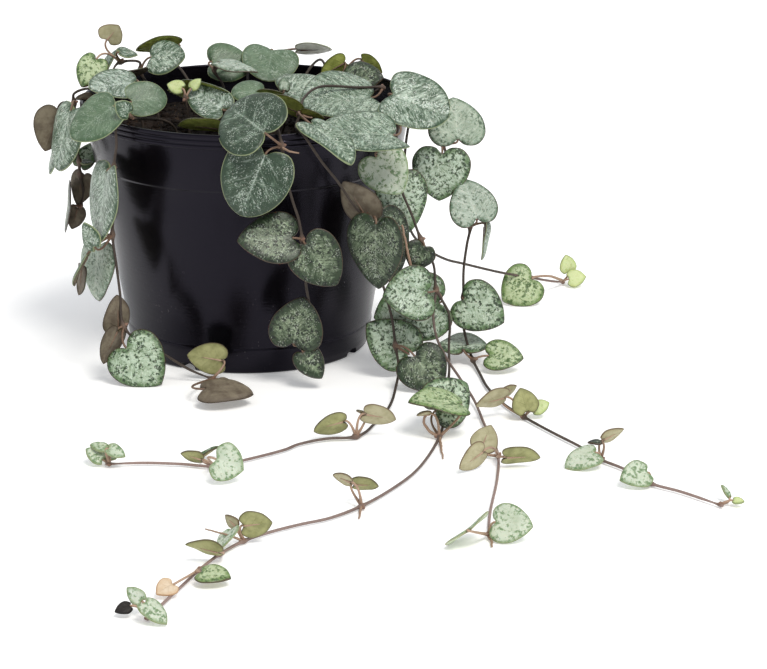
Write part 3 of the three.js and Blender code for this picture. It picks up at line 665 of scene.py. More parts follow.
# %% [markdown]
# ## A body that is gathered part by part
#
# Each vine is one mesh of many parts. Joining Blender objects would work, but it is slow and it loses
# what each part knows about itself. So parts are gathered as plain lists first. Every point also
# carries three painted vectors that the materials read: its place on the leaf or stem, its spot in
# millimetres for fine patterns, and the tone, a few numbers that are the same over one leaf.

# %% Gather parts and make one object of them
def mesh_of(name, points, faces):
    """A mesh from points in millimetres."""
    mesh = bpy.data.meshes.new(name)
    mesh.from_pydata([Vector(point) * MM for point in points], [], faces)
    return mesh


def smoothed(mesh):
    mesh.polygons.foreach_set("use_smooth", [True] * len(mesh.polygons))


class Body:
    def __init__(self):
        self.points = []
        self.faces = []
        self.slots = []
        self.painted = {"place": [], "spot": [], "tone": []}

    def add(self, points, faces, slots, place, spot, tone):
        start = len(self.points)
        self.points += [tuple(point) for point in points]
        self.faces += [tuple(start + corner for corner in face) for face in faces]
        self.slots += slots
        self.painted["place"] += place
        self.painted["spot"] += [tuple(value) for value in spot]
        self.painted["tone"] += [tone] * len(points)

    def made(self, name, materials):
        mesh = mesh_of(name, self.points, self.faces)
        used = sorted(set(self.slots), key=list(materials).index)
        for slot in used:
            mesh.materials.append(materials[slot])
        mesh.polygons.foreach_set("material_index", [used.index(slot) for slot in self.slots])
        smoothed(mesh)
        for label, values in self.painted.items():
            layer = mesh.attributes.new(label, "FLOAT_VECTOR", "POINT")
            layer.data.foreach_set("vector", np.array(values, np.float32).ravel())
        mesh.update()
        return placed(name, mesh)


print("painted on each point:", ", ".join(Body().painted))

# %% [markdown]
# ## The line of a stem
#
# A stem bends smoothly through its stops without overshooting, which a centripetal Catmull-Rom curve
# does. It is worked out here as points a short step apart, so a stem can swell at its knots.

# %% A smooth line through stops
LINE_STEP = 0.9


def smooth_line(stops, step=LINE_STEP):
    ends = [2 * stops[0] - stops[1], *stops, 2 * stops[-1] - stops[-2]]
    line = [stops[0]]
    for before, start, end, after in zip(ends, ends[1:], ends[2:], ends[3:]):
        a, b, c = [math.sqrt((q - p).length) for p, q in ((before, start), (start, end), (end, after))]
        leaving = b * ((start - before) / a - (end - before) / (a + b) + (end - start) / b)
        coming = b * ((end - start) / b - (after - start) / (b + c) + (after - end) / c)
        pieces = max(2, math.ceil((end - start).length / step))
        for i in range(1, pieces + 1):
            t = i / pieces
            ease = 3 * t**2 - 2 * t**3
            pull = (t**3 - 2 * t**2 + t) * leaving + (t**3 - t**2) * coming
            line.append((1 - ease) * start + ease * end + pull)
    return line


def distances_along(line):
    return np.cumsum([0.0] + [(b - a).length for a, b in zip(line, line[1:])])


print("points on a line 10 mm long:", len(smooth_line([Vector((0, 0, 0)), Vector((10, 0, 0))])))

# %% A tube of changing thickness along a line
def tube(body, line, radii, sides, slot, place, tone):
    """place is each ring's painted vector. One direction is carried along, so that nothing twists."""
    across = (line[1] - line[0]).orthogonal().normalized()
    points = []
    for i, centre in enumerate(line):
        heading = (line[min(i + 1, len(line) - 1)] - line[max(i - 1, 0)]).normalized()
        across = (across - across.dot(heading) * heading).normalized()
        upright = heading.cross(across)
        for k in range(sides):
            turn = 2 * math.pi * k / sides
            points.append(centre + float(radii[i]) * (math.cos(turn) * across + math.sin(turn) * upright))
    faces = []
    for start in range(0, len(points) - sides, sides):
        for k in range(sides):
            a, b = start + k, start + (k + 1) % sides
            faces.append((a, b, b + sides, a + sides))
    faces.append(range(sides)[::-1])
    faces.append(range(len(points) - sides, len(points)))
    rings = [value for value in place for _ in range(sides)]
    body.add(points, faces, [slot] * len(faces), rings, points, tone)


trial = Body()
upright = [Vector((0, 0, height)) for height in range(3)]
tube(trial, upright, [1, 1, 1], 8, "stem", [(0, 0, 0)] * 3, (0, 0, 0))
print("a tube of 3 rings and 8 sides has", len(trial.points), "points and", len(trial.faces), "faces")

# %% [markdown]
# ## One heart-shaped leaf
#
# The leaf is thick and fleshy: a heart with two round lobes that reach back past the notch, folded a
# little along its midrib, with a soft wave near its margin. It could be cut from a flat grid, but a
# grid steps along the edge. Here every ruling runs from the midrib out to the outline, so the margin is
# smooth and the fold falls on an edge of the mesh. The upper and the lower face share the ring of
# points at the margin, where the leaf thins to a round edge.

# %% The outline of a leaf
HEART_SIDE = [(-0.12, 0.13), (-0.12, 0.34), (0.1, 0.5), (0.45, 0.48), (0.8, 0.27), (0.96, 0.08)]
ROUND_HEART_SIDE = [(-0.1, 0.13), (-0.11, 0.36), (0.12, 0.52), (0.5, 0.51), (0.83, 0.32), (0.97, 0.12)]
SMALL_HEART_SIDE = [(-0.12, 0.26), (0.18, 0.51), (0.66, 0.38), (0.94, 0.1)]
SMALL_LEAF_LENGTH = 9
ROUND_LOOKS = "psv"
OUTLINE_STEP = 0.02
PETIOLE_THICKNESS = 0.68
RULINGS = 26


def outline(length, width, look):
    """One side of the heart from the notch to the tip, as places along the midrib and out from it."""
    side = ROUND_HEART_SIDE if look in ROUND_LOOKS else HEART_SIDE
    if length < SMALL_LEAF_LENGTH:
        side = SMALL_HEART_SIDE
    start = PETIOLE_THICKNESS / (2 * length * width)
    line = smooth_line([Vector((*place, 0)) for place in [(0, start), *side, (1, 0)]], OUTLINE_STEP)
    reach = distances_along(line)
    wanted = np.linspace(0, reach[-1], RULINGS + 1)
    alongs = np.interp(wanted, reach, [point.x for point in line])
    outs = np.interp(wanted, reach, [max(point.y, 0) for point in line])
    return list(zip(alongs.tolist(), outs.tolist()))


def leaf_frame(one):
    """The leaf's length, and the directions along its midrib, out of its upper face and to its side."""
    midrib = one["tip"] - one["notch"]
    length = midrib.length
    midrib.normalize()
    normal = (one["face"] - one["face"].dot(midrib) * midrib).normalized()
    return length, midrib, normal, normal.cross(midrib)


print("widest share of a leaf:", round(max(out for _, out in outline(20, 1, "m")), 2))

# %% The form of a blade
BLADE_THICKNESS = 0.86
EDGE_ROUNDNESS = 5
FOLDS = (0.08, 0.18)
FOLD_SOFTNESS = 0.035
MOST_WAVE = 0.032
WAVES = 3
WAVE_CENTRE = 0.3
MOST_DROOP = 0.25
DROOP_START = 0.55
MOST_ROLL = 0.09


def leaf_character(draws):
    return {
        "wave": MOST_WAVE * draws[0],
        "turn": 2 * math.pi * draws[1],
        "droop": MOST_DROOP * draws[2],
        "roll": MOST_ROLL * draws[3],
        "fold": drawn(FOLDS, draws[2]),
    }


def blade_height(along, out, share, character):
    """How far the blade's middle stands above the flat, in blade lengths."""
    fold = character["fold"] * (math.sqrt(out * out + FOLD_SOFTNESS**2) - FOLD_SOFTNESS)
    phase = WAVES * math.atan2(out, along - WAVE_CENTRE) + character["turn"]
    wave = character["wave"] * share**2 * math.sin(phase)
    droop = character["droop"] * max(along - DROOP_START, 0) ** 2
    return fold + wave - droop - character["roll"] * share**4


def margin_distances(place, rim, scale):
    """How far each point of the blade is from the margin, in millimetres."""
    inside = np.array([(along, abs(out)) for along, out in place]) * scale
    return np.linalg.norm(inside[:, None] - np.array(rim)[None] * scale, axis=2).min(axis=1)


print("fold at the edge, in leaf lengths:", round(blade_height(0.5, 0.5, 0, leaf_character([0] * 4)), 3))

# %% Build one blade
ROWS = 8
ACROSS = [math.sin(math.pi / 2 * i / ROWS) for i in range(ROWS + 1)]
SPOT_SHIFTS = (60, 20)


def add_blade(body, one, draws):
    length, midrib, normal, side = leaf_frame(one)
    character = leaf_character(draws)
    scale = (length, length * one["width"])
    rim = outline(length, one["width"], one["look"])
    numbers, points, place = {}, [], []

    def corner(column, row, sign, face):
        """A point's number. The halves share the midrib, the faces the margin, and all the tip."""
        if column == RULINGS:
            row = 0
        if row == 0:
            sign = 0
        if row == ROWS or column == RULINGS:
            face = 0
        key = (column, row, sign, face)
        if key not in numbers:
            base, share = column / RULINGS, ACROSS[row]
            along = base + (rim[column][0] - base) * share
            out = sign * rim[column][1] * share
            thin = math.sqrt((1 - share**EDGE_ROUNDNESS) * (1 - base**EDGE_ROUNDNESS))
            height = blade_height(along, out, max(share, base**3), character) * length
            height += face * BLADE_THICKNESS / 2 * thin
            numbers[key] = len(points)
            flat = one["notch"] + along * scale[0] * midrib + out * scale[1] * side
            points.append(flat + height * normal)
            place.append((along, out))
        return numbers[key]

    faces, slots = [], []

    def add_face(corners, outward, slot):
        ring = list(dict.fromkeys(corner(*key) for key in corners))
        faces.append(ring if outward else ring[::-1])
        slots.append(slot)

    above, below = LOOKS[one["look"]]
    for face, slot in ((1, above), (-1, below)):
        for sign in (1, -1):
            for c in range(RULINGS):
                for r in range(ROWS):
                    steps = [(c, r), (c + 1, r), (c + 1, r + 1), (c, r + 1)]
                    add_face([(*step, sign, face) for step in steps], face * sign > 0, slot)
    for sign in (1, -1):
        for r in range(ROWS):
            ring = [(r, 1), (r + 1, 1), (r + 1, -1), (r, -1)]
            add_face([(0, row, sign, face) for row, face in ring], sign > 0, below)

    edges = margin_distances(place, rim, scale).tolist()
    painted = [(along, out, edge) for (along, out), edge in zip(place, edges)]
    shift = SPOT_SHIFTS[0] * draws[1] + SPOT_SHIFTS[1] * draws[3]
    spot = [(along * scale[0], out * scale[1], shift) for along, out in place]
    body.add(points, faces, slots, painted, spot, (draws[0], draws[2], draws[3]))


print("faces in each half of a blade's face:", RULINGS * ROWS)

# %% [markdown]
# ## Petioles, knots and rootlets
#
# A petiole is the leaf's own short stalk. It leaves the knot, turns to arrive along the midrib, and
# goes on as a low ridge under the blade. At a knot the stem swells into a woody collar with a few scale
# stubs. Each is a tube whose thickness changes along its line.

# %% Build a petiole
PETIOLE_ARRIVAL = 0.4
PETIOLE_START = 0.3
PETIOLE_STEP = 0.8
PETIOLE_SIDES = 8
FEWEST_PETIOLE_STEPS = 4
COLLAR_RADIUS = 0.56
COLLAR_FADE = 6
CORKY_RINGS = 3
RIDGE = [(0.05, 0.34), (0.12, 0.3), (0.2, 0.26), (0.3, 0.2), (0.42, 0.15), (0.56, 0.08)]


def add_petiole(body, nearest, one, age, draws):
    """A stalk from the stem's nearest point to the leaf, then its ridge. RIDGE gives places and radii."""
    length, midrib, normal, _ = leaf_frame(one)
    notch = one["notch"]
    start = nearest + PETIOLE_START * (notch - nearest).normalized()
    behind = notch - PETIOLE_ARRIVAL * (notch - start).length * midrib
    pieces = max(FEWEST_PETIOLE_STEPS, math.ceil((notch - start).length / PETIOLE_STEP))
    thin = PETIOLE_THICKNESS / 2
    line, radii = [], []
    for i in range(pieces + 1):
        t = i / pieces
        line.append((1 - t) ** 2 * start + 2 * t * (1 - t) * behind + t * t * notch)
        radii.append(thin + (COLLAR_RADIUS - thin) * (1 - t) ** COLLAR_FADE)
    for along, radius in RIDGE:
        depth = blade_height(along, 0, 0, leaf_character(draws)) * length - BLADE_THICKNESS / 2
        line.append(notch + along * length * midrib + depth * normal)
        radii.append(radius)
    place = [(i / len(line), age, max(0, 1 - i / CORKY_RINGS)) for i in range(len(line))]
    tube(body, line, radii, PETIOLE_SIDES, "petiole", place, (draws[0], draws[1], draws[2]))


print("petiole:", PETIOLE_THICKNESS, "mm thick, collar:", 2 * COLLAR_RADIUS, "mm")

# %% Build a stem with its knots
STEM_RADIUS = 0.43
STEM_SIDES = 10
STEM_UNEVENNESS = 0.05
BARK_PITCH = 0.45
STEM_TIP = 1.2
TIP_TAPER = 9
TIP_SHARE = 0.25
KNOT_SWELL = 0.6
YOUNG_KNOT_LOSS = 0.45
KNOT_REACH = 1.3
OLD_AGE = 0.12
YOUNG_ENDS = {
    "vine_left_runner": 110,
    "vine_front_runner": 230,
    "vine_right_runner": 90,
    "vine_far_runner": 45,
}
STUBS = 3
SHORTEST_STUB = 0.9
STUB_SHAPE = [(0, 0.75), (0.5, 0.6), (0.8, 0.4), (1, 0.12)]
STUB_SIDES = 7


def stem_ages(reach, young_end):
    """0 for old brown wood and 1 at the tip of a stem whose last stretch, young_end long, is young."""
    if young_end == 0:
        return np.full(len(reach), OLD_AGE)
    return OLD_AGE + (1 - OLD_AGE) * np.clip(1 - (reach[-1] - reach) / young_end, 0, 1)


def add_stub(body, centre, heading, rng):
    """A short pointed scale at a knot. STUB_SHAPE gives places along it and their radii."""
    aside = heading.orthogonal().normalized()
    turn = 2 * math.pi * rng.random()
    out = math.cos(turn) * aside + math.sin(turn) * heading.cross(aside)
    way = (out + (rng.random() - 0.5) * heading).normalized()
    length = SHORTEST_STUB * (1 + rng.random())
    line = [centre + way * length * share for share, _ in STUB_SHAPE]
    if min(point.z for point in line) > STEM_RADIUS / 2:
        radii = [radius for _, radius in STUB_SHAPE]
        tone = (rng.random(), rng.random(), 0)
        tube(body, line, radii, STUB_SIDES, "knot", [(0, 0, 1)] * len(line), tone)


def add_stem(body, stops, young_end, rng):
    """The stem with its stubs. It gives back the line, and how old the stem is at each point of it."""
    places = [stop["at"] for stop in stops]
    knots = [stop["at"] for stop in stops if stop["leaves"]]
    line = smooth_line([*places, places[-1] + STEM_TIP * (places[-1] - places[-2]).normalized()])
    reach = distances_along(line)
    ages = stem_ages(reach, young_end)
    nearness = np.zeros(len(line))
    for at in knots:
        apart = np.array([(point - at).length for point in line])
        nearness = np.maximum(nearness, np.exp(-((apart / KNOT_REACH) ** 2)))
    rough = np.array([noise.noise(point * BARK_PITCH) for point in line])
    taper = np.sqrt(np.clip((reach[-1] - reach) / TIP_TAPER, TIP_SHARE, 1))
    swell = KNOT_SWELL * nearness * (1 - YOUNG_KNOT_LOSS * ages)
    radii = STEM_RADIUS * taper * (1 + STEM_UNEVENNESS * rough) + swell
    place = list(zip(reach.tolist(), ages.tolist(), nearness.tolist()))
    tube(body, line, radii, STEM_SIDES, "stem", place, (rng.random(), rng.random(), 0))
    for at in knots:
        i = min(range(1, len(line) - 1), key=lambda i: (line[i] - at).length_squared)
        for _ in range(STUBS):
            add_stub(body, line[i], (line[i + 1] - line[i - 1]).normalized(), rng)
    return line, ages


print("stem:", 2 * STEM_RADIUS, "mm thick, at a knot:", 2 * (STEM_RADIUS + KNOT_SWELL), "mm")

# %% Rootlets and stray stalks
# By vine, the radius at both ends and the line of each that the photograph shows.
ROOTLETS = {
    "vine_front_centre": [
        (0.45, 0.2, [(12.7, -56, 79), (14.3, -57.5, 78.1), (16.1, -58.5, 77.7), (18.3, -59, 77.5)]),
    ],
    "vine_front_runner": [
        (0.5, 0.25, [(61, -104.4, 1), (61.3, -112.5, 0.7), (61.7, -122.5, 0.5)]),
        (0.5, 0.25, [(38, -165, 1), (37.6, -168.8, 0.7), (37.4, -173.7, 0.5)]),
        (0.5, 0.3, [(72.9, -188.3, 1), (73.6, -191.2, 0.7), (73.8, -195.8, 0.5)]),
        (0.4, 0.2, [(5.8, -193, 1), (1.9, -197, 4.2), (-4.1, -200, 7.1)]),
        (0.4, 0.5, [(57.5, -103, 8.4), (56.3, -103, 5.9), (57.6, -103, 2.8), (61.1, -104.4, 1)]),
        (0.35, 0.45, [(50, -38, 49.1), (51.6, -39, 42.2), (52.9, -40, 35.6)]),
    ],
    "vine_far_runner": [(0.4, 0.5, [(94.9, 45, 8.5), (101.1, 52, 6.9), (106.6, 62, 2.6)])],
    "vine_left_runner": [(0.6, 0.2, [(18.3, -32, 83.6), (20, -36, 83.5), (21.9, -39, 83.9)])],
}
ROOTLET_STEP = 1.0
ROOTLET_SIDES = 7
ROOTLET_WANDER = 0.25
ROOTLET_AGE = 0.6
OTHER_NOISE = 9 * UP


def add_rootlet(body, stops, thick, thin, rng):
    line = smooth_line([Vector(stop) for stop in stops], ROOTLET_STEP)
    wander = [Vector((noise.noise(p), noise.noise(p + OTHER_NOISE), 0)) * ROOTLET_WANDER for p in line]
    radii = np.linspace(thick, thin, len(line))
    place = [(i, ROOTLET_AGE, 0) for i in range(len(line))]
    tone = (rng.random(), rng.random(), 0)
    tube(body, [p + w for p, w in zip(line, wander)], radii, ROOTLET_SIDES, "petiole", place, tone)


print("rootlets:", sum(len(rows) for rows in ROOTLETS.values()))

# %% [markdown]
# ## The upper face of a leaf
#
# The leaf is dark green with air-filled silver tissue over it. On the hanging leaves the silver covers
# nearly everything and green shows through as separate flecks. On the old leaves of the crown it is the
# other way round: green, with silver only along the veins and in a fine dust beside them. A picture
# could give this, but it would repeat from leaf to leaf. Here one shader lays both out in millimetres,
# so the flecks are as large on a small leaf as on a large one, and a number that each leaf carries
# shifts the pattern.

# %% Patterns of the upper face
VEIN_SPACING = 0.3
VEIN_SWEEP = 0.95
VEIN_CURVE = 0.55
VEIN_WANDER = 0.09
MIDRIB_TAPER = 0.012
SIDE_VEIN_END = (0.22, 0.42)
MIDRIB_END = (0.7, 0.95)
MARGIN_LINE = 0.38
STREAK_SWEEP = 0.8
STREAKS = (1.35, 0.5, 1.0)
BEND = (1.2, 1.2, 0.0)
BEND_PITCH = 0.45


def blend(first, second, share):
    """Two fixed colours mixed in Python."""
    return tuple((1 - share) * a + share * b for a, b in zip(first, second))


def pushed(shader, spot):
    """The place in millimetres, pushed about so that no pattern runs straight."""
    return shader.vector_maths("MULTIPLY_ADD", shader.noise(spot, BEND_PITCH, output="Color"), BEND, spot)


def swept(shader, x, y, shift):
    """The place in millimetres, sheared so that lines across it follow the side veins."""
    return shader.node("ShaderNodeCombineXYZ", None, {"X": x - STREAK_SWEEP * abs(y), "Y": y, "Z": shift})


def vein_lines(along, reach, wander, thin, thick, side_share=0.6):
    """1 on the midrib, and side_share on the side veins, which leave it and sweep forward."""
    bowed = along - VEIN_SWEEP * reach + VEIN_CURVE * reach * reach + VEIN_WANDER * wander
    apart = abs((bowed / VEIN_SPACING + 0.5).fraction() - 0.5) * VEIN_SPACING
    side_veins = side_share * (1 - apart.between(thin, thick)) * (1 - reach.between(*SIDE_VEIN_END))
    midrib = 1 - (reach + MIDRIB_TAPER * along).between(thin, thick)
    return side_veins.most(midrib * (1 - along.between(*MIDRIB_END)))


print("side veins on each half:", round(1 / VEIN_SPACING))

# %% The upper face's shader
BROAD_PITCH = 0.14
CLUSTER_PITCH = 0.4
GRAIN_PITCH = 2.6
DUST_PITCH = 0.8
FINE_PITCH = 1.8
FLECK_PITCH = 1.1
CELL_PITCH = 0.8
GLINT_PITCH = 2.3
SWELL_PITCH = 0.7
DEEPER = (0.72, 0.8, 0.66)
WARMER = (0.95, 0.96, 0.86)
LEAF_BUMP = 0.0002


def upper_face(name, colours, cover, dusting, flecks, veins, border, line):
    """colours are silver, green and the darkest green. From 0 to 1, cover says how much silver there is,
    dusting how streaky it is, flecks how many green ones and veins how clear they are. border is the
    width of the green margin in millimetres."""
    silver, green, deep = [srgb(*colour) for colour in colours]
    shader = Shader(name, Specular_IOR_Level=0.5, Subsurface_Weight=0.05, Subsurface_Scale=0.001)
    along, out, margin = shader.numbers(shader.painted("place"))
    spot = shader.painted("spot")
    x, y, shift = shader.numbers(spot)
    _, second, third = shader.numbers(shader.painted("tone"))
    bent = pushed(shader, spot)
    streaked = shader.vector_maths("MULTIPLY", pushed(shader, swept(shader, x, y, shift)), STREAKS)
    broad = shader.noise(spot, BROAD_PITCH) - 0.5
    cluster = shader.noise(spot, CLUSTER_PITCH, 1.0) - 0.5
    grain = shader.noise(spot, GRAIN_PITCH, 2.0, 0.6)
    dust = shader.noise(streaked, DUST_PITCH, 3.0, 0.7) - 0.5
    fine = shader.noise(streaked, FINE_PITCH, 2.0, 0.6) - 0.5
    near_edge = 1 - (margin + 1.6 * cluster).between(0.25, border)

    vein = vein_lines(along, abs(out), cluster, 0.003, 0.022, 0.35)
    vein = vein * (0.25 + dust.between(-0.1, 0.12)) * veins
    halo = vein_lines(along, abs(out), cluster, 0.0, 0.075) * veins

    silvered = cover + 1.6 * dusting * dust + 0.9 * dusting * fine + 0.25 * halo
    silvered = silvered + 0.8 * broad - (0.2 + 0.35 * flecks) * near_edge
    silvered = silvered.between(0.05, 0.95)

    ragged = shader.noise(bent, FLECK_PITCH, 3.0, 0.65) - 0.25 * shader.cells(bent, CELL_PITCH)
    fleck = ragged + 0.35 * cluster + 0.25 * broad + 0.07 * near_edge - 0.05 * halo
    level = 0.485 - 0.1 * flecks
    strength = 0.2 + 0.75 * flecks
    core = fleck.between(level + 0.04, level + 0.13) * strength
    fleck = fleck.between(level - 0.04, level + 0.05) * strength

    base = shader.mix(silvered, green, silver)
    base = shader.mix(fleck, base, blend(green, deep, 0.3))
    base = shader.mix(core, base, deep)
    bright = shader.noise(spot, GLINT_PITCH, 1.0) + 0.5 * cluster + 0.08 * halo - 0.1 * near_edge
    bright = bright + 0.4 * fine
    glint = bright.between(0.6, 0.7) * dusting
    base = shader.mix((vein * 0.85).most(glint * 0.75), base, blend(silver, WHITE, 0.35))
    # A thin line along the margin in the edge's colour: the leaf's own brown line on some kinds, a painted
    # highlight on the pale-edged ones.
    base = shader.mix((1 - margin.between(MARGIN_LINE * 0.4, MARGIN_LINE)) * 0.85, base, srgb(*line))
    base = shader.tinted(base, 0.5 * second, DEEPER)
    base = shader.tinted(base, 0.5 * third, WARMER)

    roughness = 0.3 + 0.2 * grain + 0.08 * silvered
    height = 0.6 * shader.noise(spot, SWELL_PITCH) + 0.3 * grain - 0.35 * halo - 0.3 * vein - 0.3 * core
    return shader.finish(base, roughness, height, LEAF_BUMP)


print("flecks lie about", round(1 / FLECK_PITCH, 1), "mm apart")

# %% The kinds of upper face
# Each row: silver, green, deep green, then cover, dusting, flecks, veins, border and the edge's colour. A
# brown edge colour is the margin's own line, a pale one a painted highlight along the margin.
BROWN_LINE = (74, 58, 44)
# A pale line along the margin, painted as the highlight on the leaf's rounded edge.
PALE_EDGE_HIGHLIGHT = (140, 150, 112)
UPPER_FACES = {
    "marbled": (((198, 212, 196), (86, 114, 72), (22, 40, 22)), 0.62, 0.6, 0.85, 0.15, 2.4, BROWN_LINE),
    "smooth": (((120, 141, 116), (64, 88, 62), (44, 66, 44)), 0.42, 0.5, 0.0, 0.35, 1.6, PALE_EDGE_HIGHLIGHT),
    "veined": (((128, 150, 130), (38, 58, 40), (26, 42, 28)), 0.16, 0.8, 0.3, 0.8, 2.4, PALE_EDGE_HIGHLIGHT),
    "silver": (((186, 201, 187), (56, 80, 57), (28, 44, 30)), 0.4, 1.05, 0.4, 0.4, 1.4, PALE_EDGE_HIGHLIGHT),
    # The dark kind is partly painted shade: a darker leaf, with its greens darkened further to match
    # leaves that lie in shade.
    "dark": (((154, 169, 141), (39, 56, 32), (12, 23, 11)), 0.42, 0.7, 0.95, 0.3, 2.8, BROWN_LINE),
    "bright": (((178, 189, 178), (90, 112, 90), (52, 74, 50)), 0.62, 0.6, 0.6, 0.7, 1.2, BROWN_LINE),
    "fresh": (((196, 207, 172), (112, 138, 78), (58, 86, 38)), 0.66, 0.4, 0.8, 0.2, 1.8, BROWN_LINE),
    "mint": (((204, 211, 197), (140, 160, 124), (94, 126, 82)), 0.75, 0.25, 0.8, 0.25, 1.0, PALE_EDGE_HIGHLIGHT),
    "lime": (((214, 222, 172), (174, 190, 112), (140, 162, 80)), 0.65, 0.2, 0.15, 0.2, 1.0, PALE_EDGE_HIGHLIGHT),
}
FINISHES = {name: upper_face(f"leaf_{name}", *row) for name, row in UPPER_FACES.items()}
print("upper faces:", ", ".join(FINISHES))

# %% [markdown]
# ## The underside of a leaf
#
# Underneath, the leaf has no silver. It is an even brown, olive or cream, a little mottled, with faint
# veins and a line at its margin. It is slightly see-through, which a little subsurface light gives.

# %% The underside's shader
UNDERSIDE_BUMP = 0.00015
WANDER_PITCH = 0.5
MOTTLE_PITCH = 0.3
PORE_PITCH = 3.2
UNDERSIDE_SHADE = (0.82, 0.85, 0.8)


def underside(name, ground, shade, line, see_through=0.2):
    ground, shade = srgb(*ground), srgb(*shade)
    shader = Shader(name, Specular_IOR_Level=0.35, Subsurface_Weight=see_through, Subsurface_Scale=0.0015)
    shader.surface.inputs["Subsurface Radius"].default_value = (1.0, 1.0, 1.0)
    along, out, margin = shader.numbers(shader.painted("place"))
    first, second, _ = shader.numbers(shader.painted("tone"))
    spot = shader.painted("spot")
    wander = shader.noise(spot, WANDER_PITCH) - 0.5
    vein = vein_lines(along, abs(out), wander, 0.004, 0.03)
    mottle = shader.noise(spot, MOTTLE_PITCH, 3.0, 0.6).between(0.35, 0.68)
    grain = shader.noise(spot, PORE_PITCH, 2.0, 0.6)
    base = shader.mix(mottle * 0.6 + grain * 0.2 + 0.1 * first, ground, shade)
    base = shader.mix(vein * 0.22, base, shade)
    base = shader.mix(1 - (margin + wander * 0.5).between(0.15, 1.3), base, shader.mix(0.6, base, shade))
    base = shader.mix((1 - margin.between(MARGIN_LINE * 0.4, MARGIN_LINE * 1.2)) * 0.85, base, srgb(*line))
    base = shader.tinted(base, 0.4 * second, UNDERSIDE_SHADE)
    roughness = 0.5 + 0.15 * grain
    return shader.finish(base, roughness, 0.4 * grain + 0.6 * vein + 0.3 * mottle, UNDERSIDE_BUMP)


print("blotches lie about", round(1 / MOTTLE_PITCH, 1), "mm apart")

# %% The kinds of underside
# Each row: the ground's colour, the shade's and the margin's, and in one how much light passes.
UNDERSIDES = {
    "under_brown": ((134, 124, 106), (84, 72, 60), (54, 43, 32)),
    "under_olive": ((196, 204, 112), (122, 132, 54), (66, 66, 28)),
    # The olive underside is partly painted light: its own olive, made brighter to make up for the shade
    # under leaves whose underside faces down.
    "under_soft_olive": ((176, 175, 124), (124, 126, 78), (88, 76, 52)),
    "under_cream": ((192, 186, 154), (154, 147, 112), (104, 82, 62)),
    "under_mint": ((204, 216, 190), (178, 192, 158), (150, 142, 112)),
    "under_lime": ((210, 222, 140), (182, 198, 110), (150, 160, 90)),
    # The grey underside is partly painted light: a pale grey made nearly white, so that this leaf, which
    # faces down into shade, looks lit through.
    "under_grey": ((246, 246, 240), (206, 206, 196), (84, 80, 66), 0.9),
    "dried": ((224, 206, 184), (208, 180, 148), (176, 138, 104)),
    "withered": ((52, 44, 40), (26, 22, 22), (20, 16, 16)),
}
FINISHES |= {name: underside(f"leaf_{name}", *row) for name, row in UNDERSIDES.items()}

# How a leaf's letter in the plan gives its two faces. Where a leaf shows its underside in the
# photograph, the letter says which underside it is.
LOOKS = {
    "m": ("marbled", "under_brown"),
    "p": ("smooth", "under_brown"),
    "v": ("veined", "under_brown"),
    "s": ("silver", "under_brown"),
    "d": ("dark", "under_brown"),
    "l": ("bright", "under_cream"),
    "g": ("fresh", "under_soft_olive"),
    "y": ("mint", "under_mint"),
    "n": ("lime", "under_lime"),
    "b": ("marbled", "under_brown"),
    "w": ("under_brown", "under_brown"),
    "e": ("under_soft_olive", "under_olive"),
    "o": ("marbled", "under_olive"),
    "u": ("mint", "under_grey"),
    "c": ("fresh", "under_cream"),
    "q": ("marbled", "under_soft_olive"),
    "x": ("dried", "dried"),
    "k": ("withered", "withered"),
}
print("undersides:", ", ".join(UNDERSIDES))

# %% [markdown]
# ## Stems, petioles and knots
#
# Old stems are dark brown with a purple cast, young ones pink. The mesh carries how old each ring is,
# so one material shades from one to the other. Knots are paler and corky.

# %% Stem materials
STEM_BUMP = 0.00025
BARK_STREAK_PITCH = 0.5
BARK_GRAIN_PITCH = 3.0
BARK_SHADE = (0.62, 0.55, 0.52)
BARK_BLUSH = (0.8, 0.72, 0.72)


def stalk(name, old, young, cork):
    shader = Shader(name, Specular_IOR_Level=0.35)
    _, age, corky = shader.numbers(shader.painted("place"))
    _, second, _ = shader.numbers(shader.painted("tone"))
    spot = shader.painted("spot")
    streak = shader.noise(spot, BARK_STREAK_PITCH, 3.0, 0.6)
    grain = shader.noise(spot, BARK_GRAIN_PITCH, 3.0, 0.65)
    base = shader.mix((age + 0.3 * (streak - 0.5)).between(0.05, 0.95), srgb(*old), srgb(*young))
    base = shader.tinted(base, grain.between(0.4, 0.75) * 0.7, BARK_SHADE)
    base = shader.mix(corky * (0.35 + 0.6 * grain), base, srgb(*cork))
    base = shader.tinted(base, 0.35 * second, BARK_BLUSH)
    return shader.finish(base, 0.5 + 0.2 * grain, 0.6 * grain + 0.5 * streak, STEM_BUMP)


FINISHES["stem"] = stalk("stem_bark", (66, 58, 51), (152, 131, 124), (122, 100, 86))
FINISHES["petiole"] = stalk("petiole_skin", (110, 88, 72), (186, 158, 136), (126, 100, 82))
FINISHES["knot"] = stalk("knot_cork", (112, 86, 72), (166, 132, 114), (146, 114, 98))
print("finishes:", len(FINISHES))

# %% [markdown]
# ## Grow the vines
#
# Each vine is now one piece: its stems first, then for each knot its leaves with their petioles, then
# the stray rootlets. It replaces the CAD node of the same name and rides on the one body that the plant
# has.

# %% Build each vine
FIRST_VINE_SEED = 40
YOUNG_LOOKS = "gyncqxk"
YOUNG_PETIOLE = 0.75
OLD_PETIOLE = 0.25


